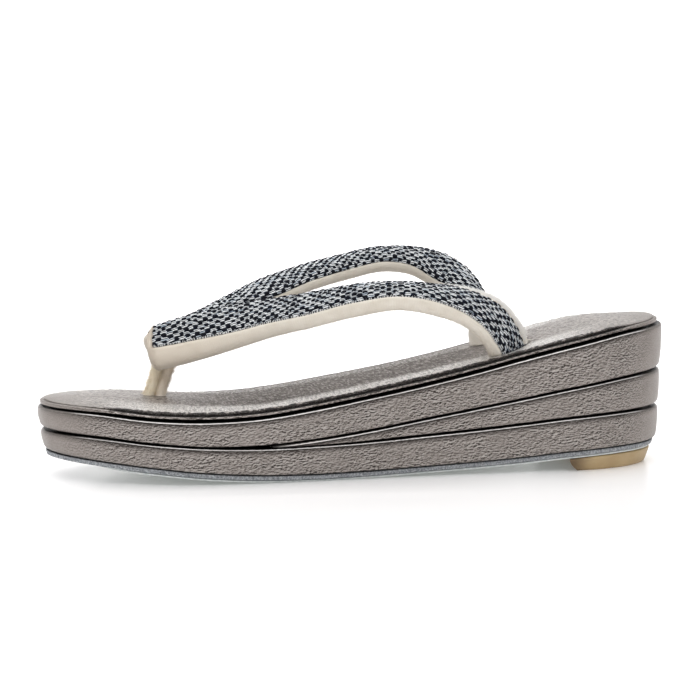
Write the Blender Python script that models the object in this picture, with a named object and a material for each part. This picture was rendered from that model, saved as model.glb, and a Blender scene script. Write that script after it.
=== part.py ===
"""A zori sandal: a leather-wrapped wedge sole of stacked layers, and a padded two-armed strap with a woven face.

The part stands on z = 0 with its toe towards -X and its heel towards +X. The origin lies under the middle of
its box. Tables and sizes are in millimetres, and every mesh is made in metres. Stations are distances from the
toe of the insole, and the near side is -Y.
"""

import math
from collections import namedtuple

import bmesh
import bpy
import numpy as np

MM = 0.001
GAP = 0.3  # between neighbouring pieces
MERGE_M = 1e-7  # points closer than this, in metres, are one point
SHARP_DEGREES = 35
UP = np.array([0.0, 0.0, 1.0])

# Outline of the insole from above
LENGTH = 240.0
BALL_HALF_WIDTH = 40.0
HEEL_HALF_WIDTH = 34.0
TOE_ROUND = 62.0
HEEL_ROUND = 42.0
WAIST_START = 55.0
WAIST_END = 158.0
CENTRE = 120.5  # station of the middle of the whole sandal
TOE_STEPS = 8
SIDE_STEPS = 10
HEEL_STEPS = 7
CLEAR_OF_START = 2.0  # least distance from a layer's start to its second station

# Heights of the seams along the side of the sole
Seams = namedtuple("Seams", "station insole upper_core lower_core outsole")
SEAM_ROWS = (
    Seams(0, 27.8, 18.9, 18.9, 10.6),
    Seams(20, 27.1, 18.1, 18.1, 8.8),
    Seams(40, 25.0, 16.0, 16.0, 6.6),
    Seams(60, 24.2, 14.4, 14.4, 4.4),
    Seams(80, 24.9, 14.3, 13.6, 3.0),
    Seams(100, 27.5, 15.9, 13.8, 2.6),
    Seams(120, 30.9, 18.5, 14.5, 2.9),
    Seams(140, 34.6, 21.8, 15.8, 3.7),
    Seams(160, 38.9, 25.2, 17.3, 4.7),
    Seams(180, 43.8, 28.7, 19.1, 6.0),
    Seams(200, 48.4, 32.3, 21.0, 7.7),
    Seams(220, 52.4, 35.3, 22.1, 8.6),
    Seams(240, 54.5, 36.8, 22.3, 8.7),
)

# How far each layer's side lies inside the insole's outline at toe and heel (outside it where negative),
# the radius of its lower and upper corners, and how far its middle bulges
Side = namedtuple("Side", "under_toe under_heel top_toe top_heel low_corner top_corner belly")
INSOLE_SIDE = Side(0.6, 0.4, 0.0, 0.0, 0.7, 0.7, 0.0)
UPPER_CORE_SIDE = Side(-0.3, -1.1, -0.8, -1.8, 1.5, 1.2, 0.3)
MIDDLE_CORE_SIDE = Side(0.2, -0.5, -0.1, -0.9, 1.3, 1.2, 0.2)
LOWER_CORE_SIDE = Side(0.9, 0.2, 0.2, -0.3, 1.9, 1.2, 0.2)
OUTSOLE_SIDE = Side(2.2, 1.9, 1.9, 1.6, 0.3, 0.3, 0.0)
TREAD_SIDE = Side(3.4, 3.0, 3.2, 2.8, 0.15, 0.15, 0.0)
LIFT_SIDE = Side(4.8, 4.8, 2.7, 2.7, 0.6, 0.6, 0.0)
CORNER_STEPS = 3
CORNER_LIMIT = 0.45  # most of a thin layer that a corner may take

INSOLE_EDGE_FOOT = 1.1  # height over its seam at which the insole's rim starts to round
INSOLE_EDGE = 2.1  # height of the rim over the seam
INSOLE_RIM = 1.6  # width of the rim's rounding
INSOLE_CROWN = 2.7
CROWN_COLUMNS = 8
WEDGE_START = 84.0
OUTSOLE_THICKNESS = 1.6
TREAD_THICKNESS = 0.7
TREAD_START = 12.0
TREAD_BLEND = 34.0
LIFT_START = 198.6
LIFT_LEAN = 2.7
LIFT_HOLLOW = 5.0  # how far the middle of its front curves back
LIFT_CUTTER_POINTS = 120
LIFT_CUTTER_LOOPS = 4

# The strap's arms from the front joint to the sole: middle, width and thickness of the section, its tilt
# outwards, and where the woven face ends above the outer and the inner edge, both in degrees
Strap = namedtuple("Strap", "station outward height width thickness tilt outer_seam inner_seam")
NEAR_ARM = (
    Strap(42.2, 4.0, 47.2, 16.0, 9.0, 50, 58, 10),
    Strap(60.2, 5.6, 52.8, 18.0, 9.0, 46, 53, 10),
    Strap(82.3, 9.2, 58.4, 18.5, 9.0, 38, 44, 10),
    Strap(101.6, 19.6, 63.0, 18.5, 9.0, 30, 37, 10),
    Strap(118.8, 27.4, 67.3, 18.5, 9.0, 19, 32, 10),
    Strap(133.0, 31.0, 68.6, 18.5, 9.0, 12, 28, 12),
    Strap(147.3, 31.0, 66.9, 19.0, 9.3, 17, 29, 16),
    Strap(159.8, 28.4, 63.3, 20.3, 10.0, 32, 31, 22),
    Strap(170.8, 23.8, 56.7, 21.8, 10.8, 56, 34, 28),
    Strap(177.1, 19.2, 47.5, 22.0, 10.8, 77, 34, 32),
    Strap(179.4, 17.2, 40.0, 22.0, 10.5, 82, 34, 32),
)
FAR_ARM = (
    Strap(42.3, 4.0, 48.2, 15.0, 9.0, 28, 30, 10),
    Strap(60.3, 5.6, 56.0, 17.0, 9.0, 8, 30, 10),
    Strap(82.4, 8.8, 65.1, 18.5, 9.0, -8, 30, 10),
    Strap(101.5, 18.0, 71.2, 18.5, 9.0, -5, 30, 10),
    Strap(120.5, 26.5, 75.3, 18.5, 9.0, -5, 30, 10),
    Strap(136.5, 30.0, 78.0, 18.5, 9.0, -8, 30, 10),
    Strap(150.3, 31.0, 76.9, 19.0, 9.3, -18, 30, 10),
    Strap(162.1, 28.4, 71.9, 19.5, 10.0, -24, 32, 12),
    Strap(171.4, 23.8, 63.2, 20.0, 10.5, 8, 34, 16),
    Strap(176.6, 19.2, 51.0, 20.0, 10.5, 66, 34, 20),
    Strap(178.7, 17.2, 40.8, 20.0, 10.5, 82, 34, 20),
)
STRAP_SQUARENESS = 2.4  # 2 is an ellipse, and more is squarer
ARM_SECTIONS = 26
NOSE = 5.0  # length of the rounding at an arm's front end
NOSE_STEPS = (0.0, 1.2)
NOSE_SIZE = 0.72  # size of the first section against the full one
FACE_START = 2.6  # from the nose to the woven face
FACE_BED = 1.3  # depth of the bed that the woven face lies in
FACE_CUT = 2.6  # depth of the blank that the woven face is cut from
FACE_STEP = 0.05
FACE_POINTS = 9
VELVET_POINTS = 13
HOLE_DEPTH = 30.0

# The toe post, a folded velvet loop that leans back as it rises
Post = namedtuple("Post", "station height length width")
POST_ROWS = (
    Post(43.2, 25.2, 9.4, 5.8),
    Post(43.9, 31.2, 8.3, 5.2),
    Post(45.6, 36.2, 8.1, 5.2),
    Post(47.2, 41.2, 8.6, 5.6),
    Post(48.4, 48.2, 9.0, 6.0),
)
POST_FOLD = 0.3  # how far the fold between the two strands cuts in, as a share of the width
POST_FOLD_SPREAD = 0.35
POST_POINTS = 20
POST_SECTIONS = 9

# Colour, roughness and metallic value of each piece
Finish = namedtuple("Finish", "red green blue roughness metallic")
PEWTER_LEATHER = Finish(0.25, 0.22, 0.20, 0.35, 0.6)
GREY_RUBBER = Finish(0.20, 0.24, 0.28, 0.7, 0.0)
PALE_RUBBER = Finish(0.62, 0.66, 0.64, 0.6, 0.0)
TAN_RUBBER = Finish(0.52, 0.37, 0.18, 0.55, 0.0)
OFF_WHITE_VELVET = Finish(0.74, 0.68, 0.58, 0.95, 0.0)
BEIGE_VELVET = Finish(0.58, 0.50, 0.38, 0.95, 0.0)
NAVY_TWEED = Finish(0.09, 0.12, 0.18, 0.9, 0.0)


def smooth_step(t):
    t = min(max(t, 0.0), 1.0)
    return t * t * (3 - 2 * t)


def quarter_round(t):
    """Rises from 0 to 1 along a quarter of an ellipse."""
    t = min(max(t, 0.0), 1.0)
    return math.sqrt(1 - (1 - t) ** 2)


def quarter_turns(steps):
    return [math.pi / 2 * i / steps for i in range(steps + 1)]


def through_points(at, values, wanted):
    """Smooth curve through the rows of values that lie at the places `at`, read at the wanted places."""
    slopes = np.gradient(values, at, axis=0)
    index = np.clip(np.searchsorted(at, wanted) - 1, 0, len(at) - 2)
    span = (at[index + 1] - at[index])[:, None]
    t = (wanted - at[index])[:, None] / span
    start = values[index] * (2 * t**3 - 3 * t**2 + 1)
    end = values[index + 1] * (3 * t**2 - 2 * t**3)
    leaving = slopes[index] * span * (t**3 - 2 * t**2 + t)
    arriving = slopes[index + 1] * span * (t**3 - t**2)
    return start + end + leaving + arriving


def material(name, finish):
    made = bpy.data.materials.get(name) or bpy.data.materials.new(name)
    made.use_nodes = True
    shader = made.node_tree.nodes["Principled BSDF"]
    shader.inputs["Base Color"].default_value = (finish.red, finish.green, finish.blue, 1.0)
    shader.inputs["Roughness"].default_value = finish.roughness
    shader.inputs["Metallic"].default_value = finish.metallic
    return made


def loft(name, loops, finish):
    """Closed object through loops of points in millimetres. One without a finish is a helper."""
    shape = bmesh.new()
    rows = [[shape.verts.new([MM * c for c in point]) for point in loop] for loop in loops]
    count = len(rows[0])
    for row, following in zip(rows, rows[1:]):
        for i in range(count):
            j = (i + 1) % count
            shape.faces.new((row[i], row[j], following[j], following[i]))
    shape.faces.new(rows[0])
    shape.faces.new(rows[-1])
    bmesh.ops.remove_doubles(shape, verts=shape.verts, dist=MERGE_M)
    bmesh.ops.dissolve_degenerate(shape, edges=shape.edges, dist=MERGE_M)
    bmesh.ops.triangulate(shape, faces=shape.faces)
    bmesh.ops.recalc_face_normals(shape, faces=shape.faces)
    mesh = bpy.data.meshes.new(name)
    shape.to_mesh(mesh)
    shape.free()
    mesh.shade_smooth()
    mesh.set_sharp_from_angle(angle=math.radians(SHARP_DEGREES))
    made = bpy.data.objects.new(name, mesh)
    bpy.context.scene.collection.objects.link(made)
    if finish:
        mesh.materials.append(material(name, finish))
    else:
        made.hide_render = True
        made.display_type = "WIRE"
    return made


def boolean(piece, operation, *others):
    for other in others:
        modifier = piece.modifiers.new(other.name, "BOOLEAN")
        modifier.operation = operation
        modifier.object = other


# Sole


def half_width(station):
    share = smooth_step((station - WAIST_START) / (WAIST_END - WAIST_START))
    side = BALL_HALF_WIDTH * (1 - share) + HEEL_HALF_WIDTH * share
    return side * quarter_round(station / TOE_ROUND) * quarter_round((LENGTH - station) / HEEL_ROUND)


def outline_stations(start=0.0):
    """Stations from the start to the heel, close together where the outline turns."""
    clear = start + CLEAR_OF_START
    toe = [TOE_ROUND * (1 - math.cos(turn)) for turn in quarter_turns(TOE_STEPS)[:-1]]
    sides = np.linspace(TOE_ROUND, LENGTH - HEEL_ROUND, SIDE_STEPS + 1).tolist()
    heel = [LENGTH - HEEL_ROUND * (1 - math.cos(turn)) for turn in quarter_turns(HEEL_STEPS)[-2::-1]]
    if start == 0.0:
        return toe + sides + heel
    return [start] + [station for station in sides + heel if station > clear]


def facing(station):
    """Direction that the near side of the outline faces, as (along, across)."""
    if station <= 0 or station >= LENGTH:
        return (-1.0 if station <= 0 else 1.0), 0.0
    step = 0.01
    slope = (half_width(station + step) - half_width(station - step)) / (2 * step)
    size = math.hypot(slope, 1.0)
    return -slope / size, 1.0 / size


def seam(name, station):
    """Height of a seam: a smooth curve through its column of the table."""
    stations = np.array([row.station for row in SEAM_ROWS], float)
    heights = np.array([[getattr(row, name)] for row in SEAM_ROWS], float)
    return float(through_points(stations, heights, np.array([station]))[0, 0])


def rounded_side(side, station, under, top):
    """One side of a layer, from its underside to its top, as (inset, height) pairs.

    The underside and top are functions of the station, read where the side's own edge lies.
    """
    share = station / LENGTH
    along = facing(station)[0]
    under_inset = side.under_toe * (1 - share) + side.under_heel * share
    top_inset = side.top_toe * (1 - share) + side.top_heel * share
    low = under(station - under_inset * along)
    high = top(station - top_inset * along)
    room = CORNER_LIMIT * (high - low)
    turns = [(math.sin(turn), math.cos(turn)) for turn in quarter_turns(CORNER_STEPS)]
    radius = min(side.low_corner, room)
    lower = [(under_inset + radius * (1 - sine), low + radius * (1 - cosine)) for sine, cosine in turns]
    radius = min(side.top_corner, room)
    upper = [(top_inset + radius * (1 - cosine), high - radius * (1 - sine)) for sine, cosine in turns]
    middle = ((under_inset + top_inset) / 2 - side.belly, (low + high) / 2)
    return lower + [middle] + upper


def cross_section(station, rows, crown=0.0):
    """Closed section of a layer: near side, top and far side. A crown raises the middle of the top."""
    along, across = facing(station)
    width = half_width(station)
    near = []
    for inset, height in rows:
        near.append((station - inset * along - CENTRE, -max(width - inset * across, 0.0), height))
    far = [(x, -y, z) for x, y, z in reversed(near)]
    if not crown:
        return near + far
    x, edge, height = near[-1]
    rise = crown * min(1.0, -edge / HEEL_HALF_WIDTH)
    shares = [2 * i / CROWN_COLUMNS - 1 for i in range(1, CROWN_COLUMNS)]
    return near + [(x, -edge * share, height + rise * (1 - share**2)) for share in shares] + far


def layer(name, side, under, top, finish, start=0.0):
    """Layer of the sole between two heights, which are functions of the station."""
    loops = []
    for station in outline_stations(start):
        loops.append(cross_section(station, rounded_side(side, station, under, top)))
    return loft(name, loops, finish)


def above(name):
    return lambda station: seam(name, station) + GAP / 2


def below(name):
    return lambda station: seam(name, station) - GAP / 2


def outsole_under(station):
    return seam("outsole", station) - GAP / 2 - OUTSOLE_THICKNESS


def tread_under(station):
    """Underside of the tread, flat on the floor under the ball of the foot."""
    return max(outsole_under(station) - GAP - TREAD_THICKNESS, 0.0)


def tread_top(station):
    return outsole_under(station) - GAP


def tread_sheet(name, finish):
    """The tread starts behind the toe, so its edge lies further in there."""
    loops = []
    for station in outline_stations():
        extra = (TREAD_START - TREAD_SIDE.top_toe) * (1 - smooth_step(station / TREAD_BLEND))
        under_toe = TREAD_SIDE.under_toe + extra
        side = TREAD_SIDE._replace(under_toe=under_toe, top_toe=TREAD_SIDE.top_toe + extra)
        loops.append(cross_section(station, rounded_side(side, station, tread_under, tread_top)))
    return loft(name, loops, finish)


def lift_top(station):
    return tread_under(station) - GAP


def lift_cutter():
    """Upright rod whose side is the heel lift's hollow front. It widens downwards, so the front leans back."""
    top = lift_top(LIFT_START) + GAP
    reach = half_width(LIFT_START) - LIFT_SIDE.top_toe
    radius = (reach**2 + LIFT_HOLLOW**2) / (2 * LIFT_HOLLOW)
    middle = LIFT_START + LIFT_HOLLOW - radius - CENTRE
    loops = []
    for share in np.linspace(0, 1, LIFT_CUTTER_LOOPS):
        size = radius + LIFT_LEAN * (1 - share) ** 2
        turns = np.linspace(0, 2 * math.pi, LIFT_CUTTER_POINTS, endpoint=False)
        loops.append([(middle + size * math.cos(a), size * math.sin(a), top * share) for a in turns])
    floor = [(x, y, -GAP) for x, y, _ in loops[0]]
    roof = [(x, y, 2 * top) for x, y, _ in loops[-1]]
    return loft("lift_cutter", [floor, *loops, roof], None)


def heel_lift(name, finish):
    """Block under the heel, flat on the floor, with a hollow front."""
    made = layer(name, LIFT_SIDE, lambda _: 0.0, lift_top, finish, LIFT_START - LIFT_LEAN)
    boolean(made, "DIFFERENCE", lift_cutter())


def insole_edge(station):
    return seam("insole", station) + INSOLE_EDGE


def insole(name, finish, grow=0.0, deepen=0.0):
    """Cushioned top pad with a rounded rim. Grown and deepened, it is the space that straps are cut to."""
    loops = []
    for station in outline_stations():
        lower = rounded_side(INSOLE_SIDE, station, above("insole"), insole_edge)[: CORNER_STEPS + 1]
        rows = [(inset - grow, height - deepen) for inset, height in lower]
        for turn in quarter_turns(CORNER_STEPS):
            inset = INSOLE_RIM * (1 - math.cos(turn))
            rise = INSOLE_EDGE_FOOT + (INSOLE_EDGE - INSOLE_EDGE_FOOT) * math.sin(turn)
            height = seam("insole", station - inset * facing(station)[0]) + rise
            rows.append((inset - grow, height + grow))
        loops.append(cross_section(station, rows, INSOLE_CROWN))
    return loft(name, loops, finish)


# Strap


def superellipse(half_width_here, half_height_here, degrees):
    power = 2 / STRAP_SQUARENESS
    cosine = math.cos(math.radians(degrees))
    sine = math.sin(math.radians(degrees))
    across = math.copysign(abs(cosine) ** power, cosine)
    up = math.copysign(abs(sine) ** power, sine)
    return half_width_here * across, half_height_here * up


def arm_sections(rows, hand, face_start):
    """Sections along one arm: distance from the nose, sizes, middle, and directions across and out of the face."""
    values = np.array(rows, float)
    middles = np.column_stack((values[:, 0] - CENTRE, hand * values[:, 1], values[:, 2]))
    lengths = np.linalg.norm(np.diff(middles, axis=0), axis=1)
    at = np.concatenate(([0.0], np.cumsum(lengths)))
    front = [*NOSE_STEPS, face_start - FACE_STEP, face_start]
    wanted = np.concatenate((front, np.linspace(NOSE, at[-1], ARM_SECTIONS)))
    sizes = through_points(at, values, wanted)
    middles = through_points(at, middles, wanted)
    headings = np.gradient(middles, wanted, axis=0)
    sections = []
    for distance, size, middle, heading in zip(wanted, sizes, middles, headings):
        heading /= np.linalg.norm(heading)
        level = np.cross(heading, UP)
        level *= math.copysign(1.0, level[1] * hand) / np.linalg.norm(level)
        raised = np.cross(heading, level)
        raised *= math.copysign(1.0, raised[2])
        size = Strap(*size)
        tilt = math.radians(size.tilt)
        across = level * math.cos(tilt) - raised * math.sin(tilt)
        out = raised * math.cos(tilt) + level * math.sin(tilt)
        sections.append((distance, size, middle, across, out))
    return sections


def arc(section, start, end, count, depth):
    """Points of a section's outline between two angles from its outer edge, at a depth below its surface."""
    distance, size, middle, across, out = section
    left = min(distance / NOSE, 1.0)
    scale = NOSE_SIZE + (1 - NOSE_SIZE) * quarter_round(left)
    points = []
    for degrees in np.linspace(start, end, count):
        along, up = superellipse(scale * size.width / 2 - depth, scale * size.thickness / 2 - depth, degrees)
        points.append(middle + along * across + up * out)
    return points


def velvet_arm(name, rows, hand, finish, grow=0.0):
    """One padded arm, with a bed for the woven face let into its top. Grown, it is a cutter."""
    loops = []
    for section in arm_sections(rows, hand, FACE_START + grow):
        distance, size = section[:2]
        shift = math.degrees(grow / (size.thickness / 2))
        outer = size.outer_seam + shift
        inner = 180 - size.inner_seam - shift
        bed = FACE_BED if distance >= FACE_START + grow else 0.0
        face = arc(section, outer, inner, FACE_POINTS, bed - grow)
        velvet = arc(section, inner, outer + 360, VELVET_POINTS, -grow)
        loops.append(face + velvet)
    return loft(name, loops, finish)


def woven_blank(name, rows, hand, finish):
    """Thick strip along the top of one arm, from which the woven face is cut."""
    loops = []
    for section in arm_sections(rows, hand, FACE_START):
        distance, size = section[:2]
        if distance < FACE_START:
            continue
        outer = size.outer_seam
        inner = 180 - size.inner_seam
        surface = arc(section, outer, inner, FACE_POINTS, 0.0)
        loops.append(surface + arc(section, inner, outer, FACE_POINTS, FACE_CUT))
    return loft(name, loops, finish)


def toe_post(name, finish):
    """Two velvet strands side by side, as one loop folded in half."""
    rows = np.array(POST_ROWS, float)
    heights = np.linspace(rows[0, 1], rows[-1, 1], POST_SECTIONS)
    loops = []
    for station, height, length, width in through_points(rows[:, 1], rows, heights):
        loop = []
        for i in range(POST_POINTS):
            turn = 2 * math.pi * i / POST_POINTS
            fold = POST_FOLD * math.exp(-((math.cos(turn) / POST_FOLD_SPREAD) ** 2))
            x = station - CENTRE + length / 2 * math.cos(turn)
            loop.append((x, width / 2 * math.sin(turn) * (1 - fold), height))
        loops.append(loop)
    return loft(name, loops, finish)


def strap():
    """The upper in one piece, the woven face over it and the toe post, cut clear of each other and the sole."""
    sole_space = insole("sole_space", None, grow=GAP, deepen=HOLE_DEPTH)
    arms = (("near", NEAR_ARM, -1), ("far", FAR_ARM, 1))
    spaces = [velvet_arm(f"{side}_arm_space", rows, hand, None, grow=GAP) for side, rows, hand in arms]
    upper = velvet_arm("upper", NEAR_ARM, -1, OFF_WHITE_VELVET)
    boolean(upper, "UNION", velvet_arm("far_arm", FAR_ARM, 1, None))
    boolean(upper, "DIFFERENCE", sole_space)
    face = woven_blank("strap_face", NEAR_ARM, -1, NAVY_TWEED)
    boolean(face, "UNION", woven_blank("far_blank", FAR_ARM, 1, None))
    boolean(face, "DIFFERENCE", *spaces, sole_space)
    post = toe_post("toe_post", BEIGE_VELVET)
    boolean(post, "DIFFERENCE", *spaces, sole_space)


def main():
    for old in list(bpy.data.objects):
        bpy.data.objects.remove(old, do_unlink=True)
    heel_lift("heel_lift", TAN_RUBBER)
    tread_sheet("tread_sheet", PALE_RUBBER)
    layer("outsole", OUTSOLE_SIDE, outsole_under, below("outsole"), GREY_RUBBER)
    layer("lower_core", LOWER_CORE_SIDE, above("outsole"), below("lower_core"), PEWTER_LEATHER)
    middle_heights = (above("lower_core"), below("upper_core"))
    layer("middle_core", MIDDLE_CORE_SIDE, *middle_heights, PEWTER_LEATHER, WEDGE_START)
    layer("upper_core", UPPER_CORE_SIDE, above("upper_core"), below("insole"), PEWTER_LEATHER)
    insole("insole", PEWTER_LEATHER)
    strap()


main()
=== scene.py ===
"""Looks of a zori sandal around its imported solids: leather layers, velvet strap, woven face and sheet rubber.

Tables and sizes are in millimetres, and every mesh is made in metres. Stations are distances from the toe of
the insole. The toe points towards -X, and the near side is -Y.
"""

import math
from collections import namedtuple
from functools import cache

import bmesh
import bpy
import numpy as np
from mathutils import Matrix, Vector


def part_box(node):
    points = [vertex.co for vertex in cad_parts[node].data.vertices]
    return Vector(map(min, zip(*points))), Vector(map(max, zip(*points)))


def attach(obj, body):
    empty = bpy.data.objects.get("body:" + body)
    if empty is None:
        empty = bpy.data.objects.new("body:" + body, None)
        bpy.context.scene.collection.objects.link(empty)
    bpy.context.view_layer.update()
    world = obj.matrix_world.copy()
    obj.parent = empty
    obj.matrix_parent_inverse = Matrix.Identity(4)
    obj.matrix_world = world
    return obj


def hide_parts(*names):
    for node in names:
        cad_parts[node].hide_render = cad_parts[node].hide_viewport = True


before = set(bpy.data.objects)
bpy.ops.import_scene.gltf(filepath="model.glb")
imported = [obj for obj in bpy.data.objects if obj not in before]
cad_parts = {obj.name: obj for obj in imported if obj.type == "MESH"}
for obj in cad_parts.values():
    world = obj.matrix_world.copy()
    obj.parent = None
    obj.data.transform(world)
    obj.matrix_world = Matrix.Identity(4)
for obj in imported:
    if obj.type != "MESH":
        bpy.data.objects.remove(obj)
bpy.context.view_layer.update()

MM = 0.001
MERGE_M = 1e-7  # points closer than this, in metres, are one point
UP = np.array([0.0, 0.0, 1.0])
INSOLE_LOW, INSOLE_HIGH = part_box("insole")
CENTRE = -INSOLE_LOW.x / MM  # station of the frame's origin
LENGTH = (INSOLE_HIGH.x - INSOLE_LOW.x) / MM

# Outline of the insole from above
BALL_HALF_WIDTH = 40.0
HEEL_HALF_WIDTH = 34.0
TOE_ROUND = 62.0
HEEL_ROUND = 42.0
WAIST_START = 55.0
WAIST_END = 158.0
TOE_STEPS = 110
SIDE_STEPS = 230
HEEL_STEPS = 75

# Heights of the seams along the side of the sole
Seams = namedtuple("Seams", "station insole upper_core lower_core outsole")
SEAM_ROWS = (
    (0, 27.8, 18.9, 18.9, 10.6),
    (20, 27.1, 18.1, 18.1, 8.8),
    (40, 25.0, 16.0, 16.0, 6.6),
    (60, 24.2, 14.4, 14.4, 4.4),
    (80, 24.9, 14.3, 13.6, 3.0),
    (100, 27.5, 15.9, 13.8, 2.6),
    (120, 30.9, 18.5, 14.5, 2.9),
    (140, 34.6, 21.8, 15.8, 3.7),
    (160, 38.9, 25.2, 17.3, 4.7),
    (180, 43.8, 28.7, 19.1, 6.0),
    (200, 48.4, 32.3, 21.0, 7.7),
    (220, 52.4, 35.3, 22.1, 8.6),
    (240, 54.5, 36.8, 22.3, 8.7),
)

# How far each layer's side lies inside the insole's outline at toe and heel, and how far its middle bulges
Side = namedtuple("Side", "under_toe under_heel top_toe top_heel belly")
UPPER_CORE_SIDE = Side(-0.3, -1.1, -0.8, -1.8, 0.3)
MIDDLE_CORE_SIDE = Side(0.2, -0.5, -0.1, -0.9, 0.2)
LOWER_CORE_SIDE = Side(0.9, 0.2, 0.2, -0.3, 0.2)
OUTSOLE_SIDE = Side(2.2, 1.9, 1.9, 1.6, 0.0)
TREAD_SIDE = Side(3.4, 3.0, 3.2, 2.8, 0.0)
LIFT_SIDE = Side(4.8, 4.8, 2.7, 2.7, 0.0)

# The groove between two layers: how far each side opens it at the mouth, its depth, and its rounded lips
MOUTH_ABOVE = 0.50  # of the layer over the groove
MOUTH_BELOW = 0.38  # of the layer under it
LIP_ABOVE = 0.6
LIP_BELOW = 0.5
END_LIP_ABOVE = 1.7  # more rounding of the layer over the groove at toe and heel
END_LIP_BELOW = 0.8
GROOVE_BACK = 7.0
GROOVE_FLOOR = 5.2
FULL_GROOVE = 5.0  # thickness of a layer from which its grooves are full
LIP_STEPS = 6
SIDE_ROWS = 26
CORE_COLUMNS = 6  # of points across a core's hidden top
UNDER_COLUMNS = 6  # and across the underside of any layer

# The insole over its seam: a rolled rim, a gathered crease behind it, then a puffed border and the top
INSOLE_MOUTH = 0.4
SIDE_MOUTH = 0.4  # and how much wider the groove under the insole is along the sides
ROLL_FOOT = 0.3
ROLL_TURN = 1.3
ROLL_TOP = 1.8
ROLL_INSET = 0.7
ROLL_UNDER = 0.4  # inset of the roll's underside
CREASE_DROP = 0.2
# The wall behind the roll: insets, each with a share of the rise from the crease to the border. A share under
# 0 is of the way from the roll's top down to the crease.
CREASE_WALL = ((1.0, -0.45), (1.9, -0.2), (2.0, 0.08), (1.45, 0.30), (1.5, 0.62))
PUFF_INSET = 4.0
PUFF_STEPS = 9
BORDER_HEIGHT = 2.2  # of the top's border at toe and heel
BORDER_PUFF = 1.1  # and how much higher it is along the sides
TOP_CROWN = 2.9
LOW_CROWN = 1.5  # how much flatter the middle of the top is
POST_SWELL = 0.7  # and how much fuller the top is round the toe post
POST_SWELL_REACH = 16.0
FAR_DROP = 1.4  # the top leans down from its near border to its far border
INSOLE_COLUMNS = 110
ROLL_STEPS = 6
BRIGHT_FROM = 2.2  # inset from which a highlight is painted along the top's border
BRIGHT_TO = 11.0
BRIGHT_FADE = 9.0
END_BRIGHT = 0.32  # how much of that painted highlight covers the top at toe and heel, as a share
FOLD_FROM = 1.55  # height over the seam from which, and up to which, the gathers lie in a fold painted dark as shade
FOLD_TO = 3.0
PLEAT_SIZE = 0.8
PLEAT_HEIGHT = 0.22
NO_LIP = 9.0  # distance below a seam that is too large for a lip
DIM_FROM = 7.0  # inset from which shade and a dark reflection are painted over the middle of the top
DIM_FADE = 16.0
LIP_SHINE = 0.62  # depth under a seam of the painted highlight line on a layer's lip
LIP_FOLD = 1.15  # depth of the dark fold painted as shade under it
LIP_SHADE = 3.2  # depth down to which shade is painted on the leather under a lip

# Stretches along the sides: where each begins behind the toe, the length over which it sets in, and the same
# two from the heel
GATHERED = (14, 22, 6, 26)
LEANING = (15, 60, 10, 60)
LOW_MIDDLE = (48, 40, 10, 60)
CRINKLED = (3, 24, 4, 18)
# The next three: the top's painted highlight along its border, its grain and painted glints, and the painted
# shade over its middle
BRIGHT = (14, 40, 20, 40)
GRAINED = (30, 40, 50, 40)
DIM = (40, 45, 42, 40)

# The wedge in the middle, the rubber sheets and the heel lift
WEDGE_START = 84.0
WEDGE_FADE = 9.0  # length over which the middle layer comes out of the groove's painted shade
OUTSOLE_THICKNESS = 1.6
TREAD_THICKNESS = 0.7
TREAD_START = 12.0
TREAD_BLEND = 34.0
THIN_GAP = 0.3
LIFT_START = 198.6
LIFT_LEAN = 2.7
LIFT_HOLLOW = 5.0
LIFT_ROWS = 14
LIFT_COLUMNS = 30  # of points across the hollow front
LIFT_LEAST = 0.3  # height of the lift where the tread almost meets the floor
SHEET_COLUMNS = 4
SHEET_CORNER = 0.12  # height of the bevel at a rubber sheet's edges

# Places where the strap's ends and the toe post press the insole in
Hollow = namedtuple("Hollow", "station outward length width depth")
HOLLOWS = (
    Hollow(43.5, 0.0, 8.0, 6.5, 0.5),
    Hollow(177.5, -19.0, 12.0, 9.0, 0.6),
    Hollow(177.5, 19.0, 12.0, 9.0, 0.6),
)

# The strap's arms from the front joint to the sole: middle, width and thickness of the section, its tilt
# outwards, and where the woven face ends above the outer and the inner edge, both in degrees
Strap = namedtuple("Strap", "station outward height width thickness tilt outer_seam inner_seam")
NEAR_ARM = (
    (42.2, 4.0, 47.6, 18.6, 10.1, 54, 80, 10),
    (60.2, 5.6, 52.5, 19.7, 9.9, 49, 68, 10),
    (82.3, 9.2, 58.2, 19.2, 9.6, 39, 49, 10),
    (101.6, 19.6, 62.9, 18.7, 9.4, 30, 37, 10),
    (118.8, 27.4, 67.0, 18.9, 9.8, 19, 31, 10),
    (133.0, 31.0, 68.5, 18.6, 9.2, 12, 28, 10),
    (147.3, 31.0, 66.6, 19.0, 10.1, 17, 21, 34),
    (159.8, 28.4, 63.0, 20.4, 10.4, 32, 13, 54),
    (170.8, 23.8, 56.6, 22.0, 11.2, 56, 9, 70),
    (177.1, 19.2, 47.5, 22.2, 11.2, 77, 22, 77),
    (179.4, 17.2, 40.0, 22.2, 10.9, 82, 32, 77),
)
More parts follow.
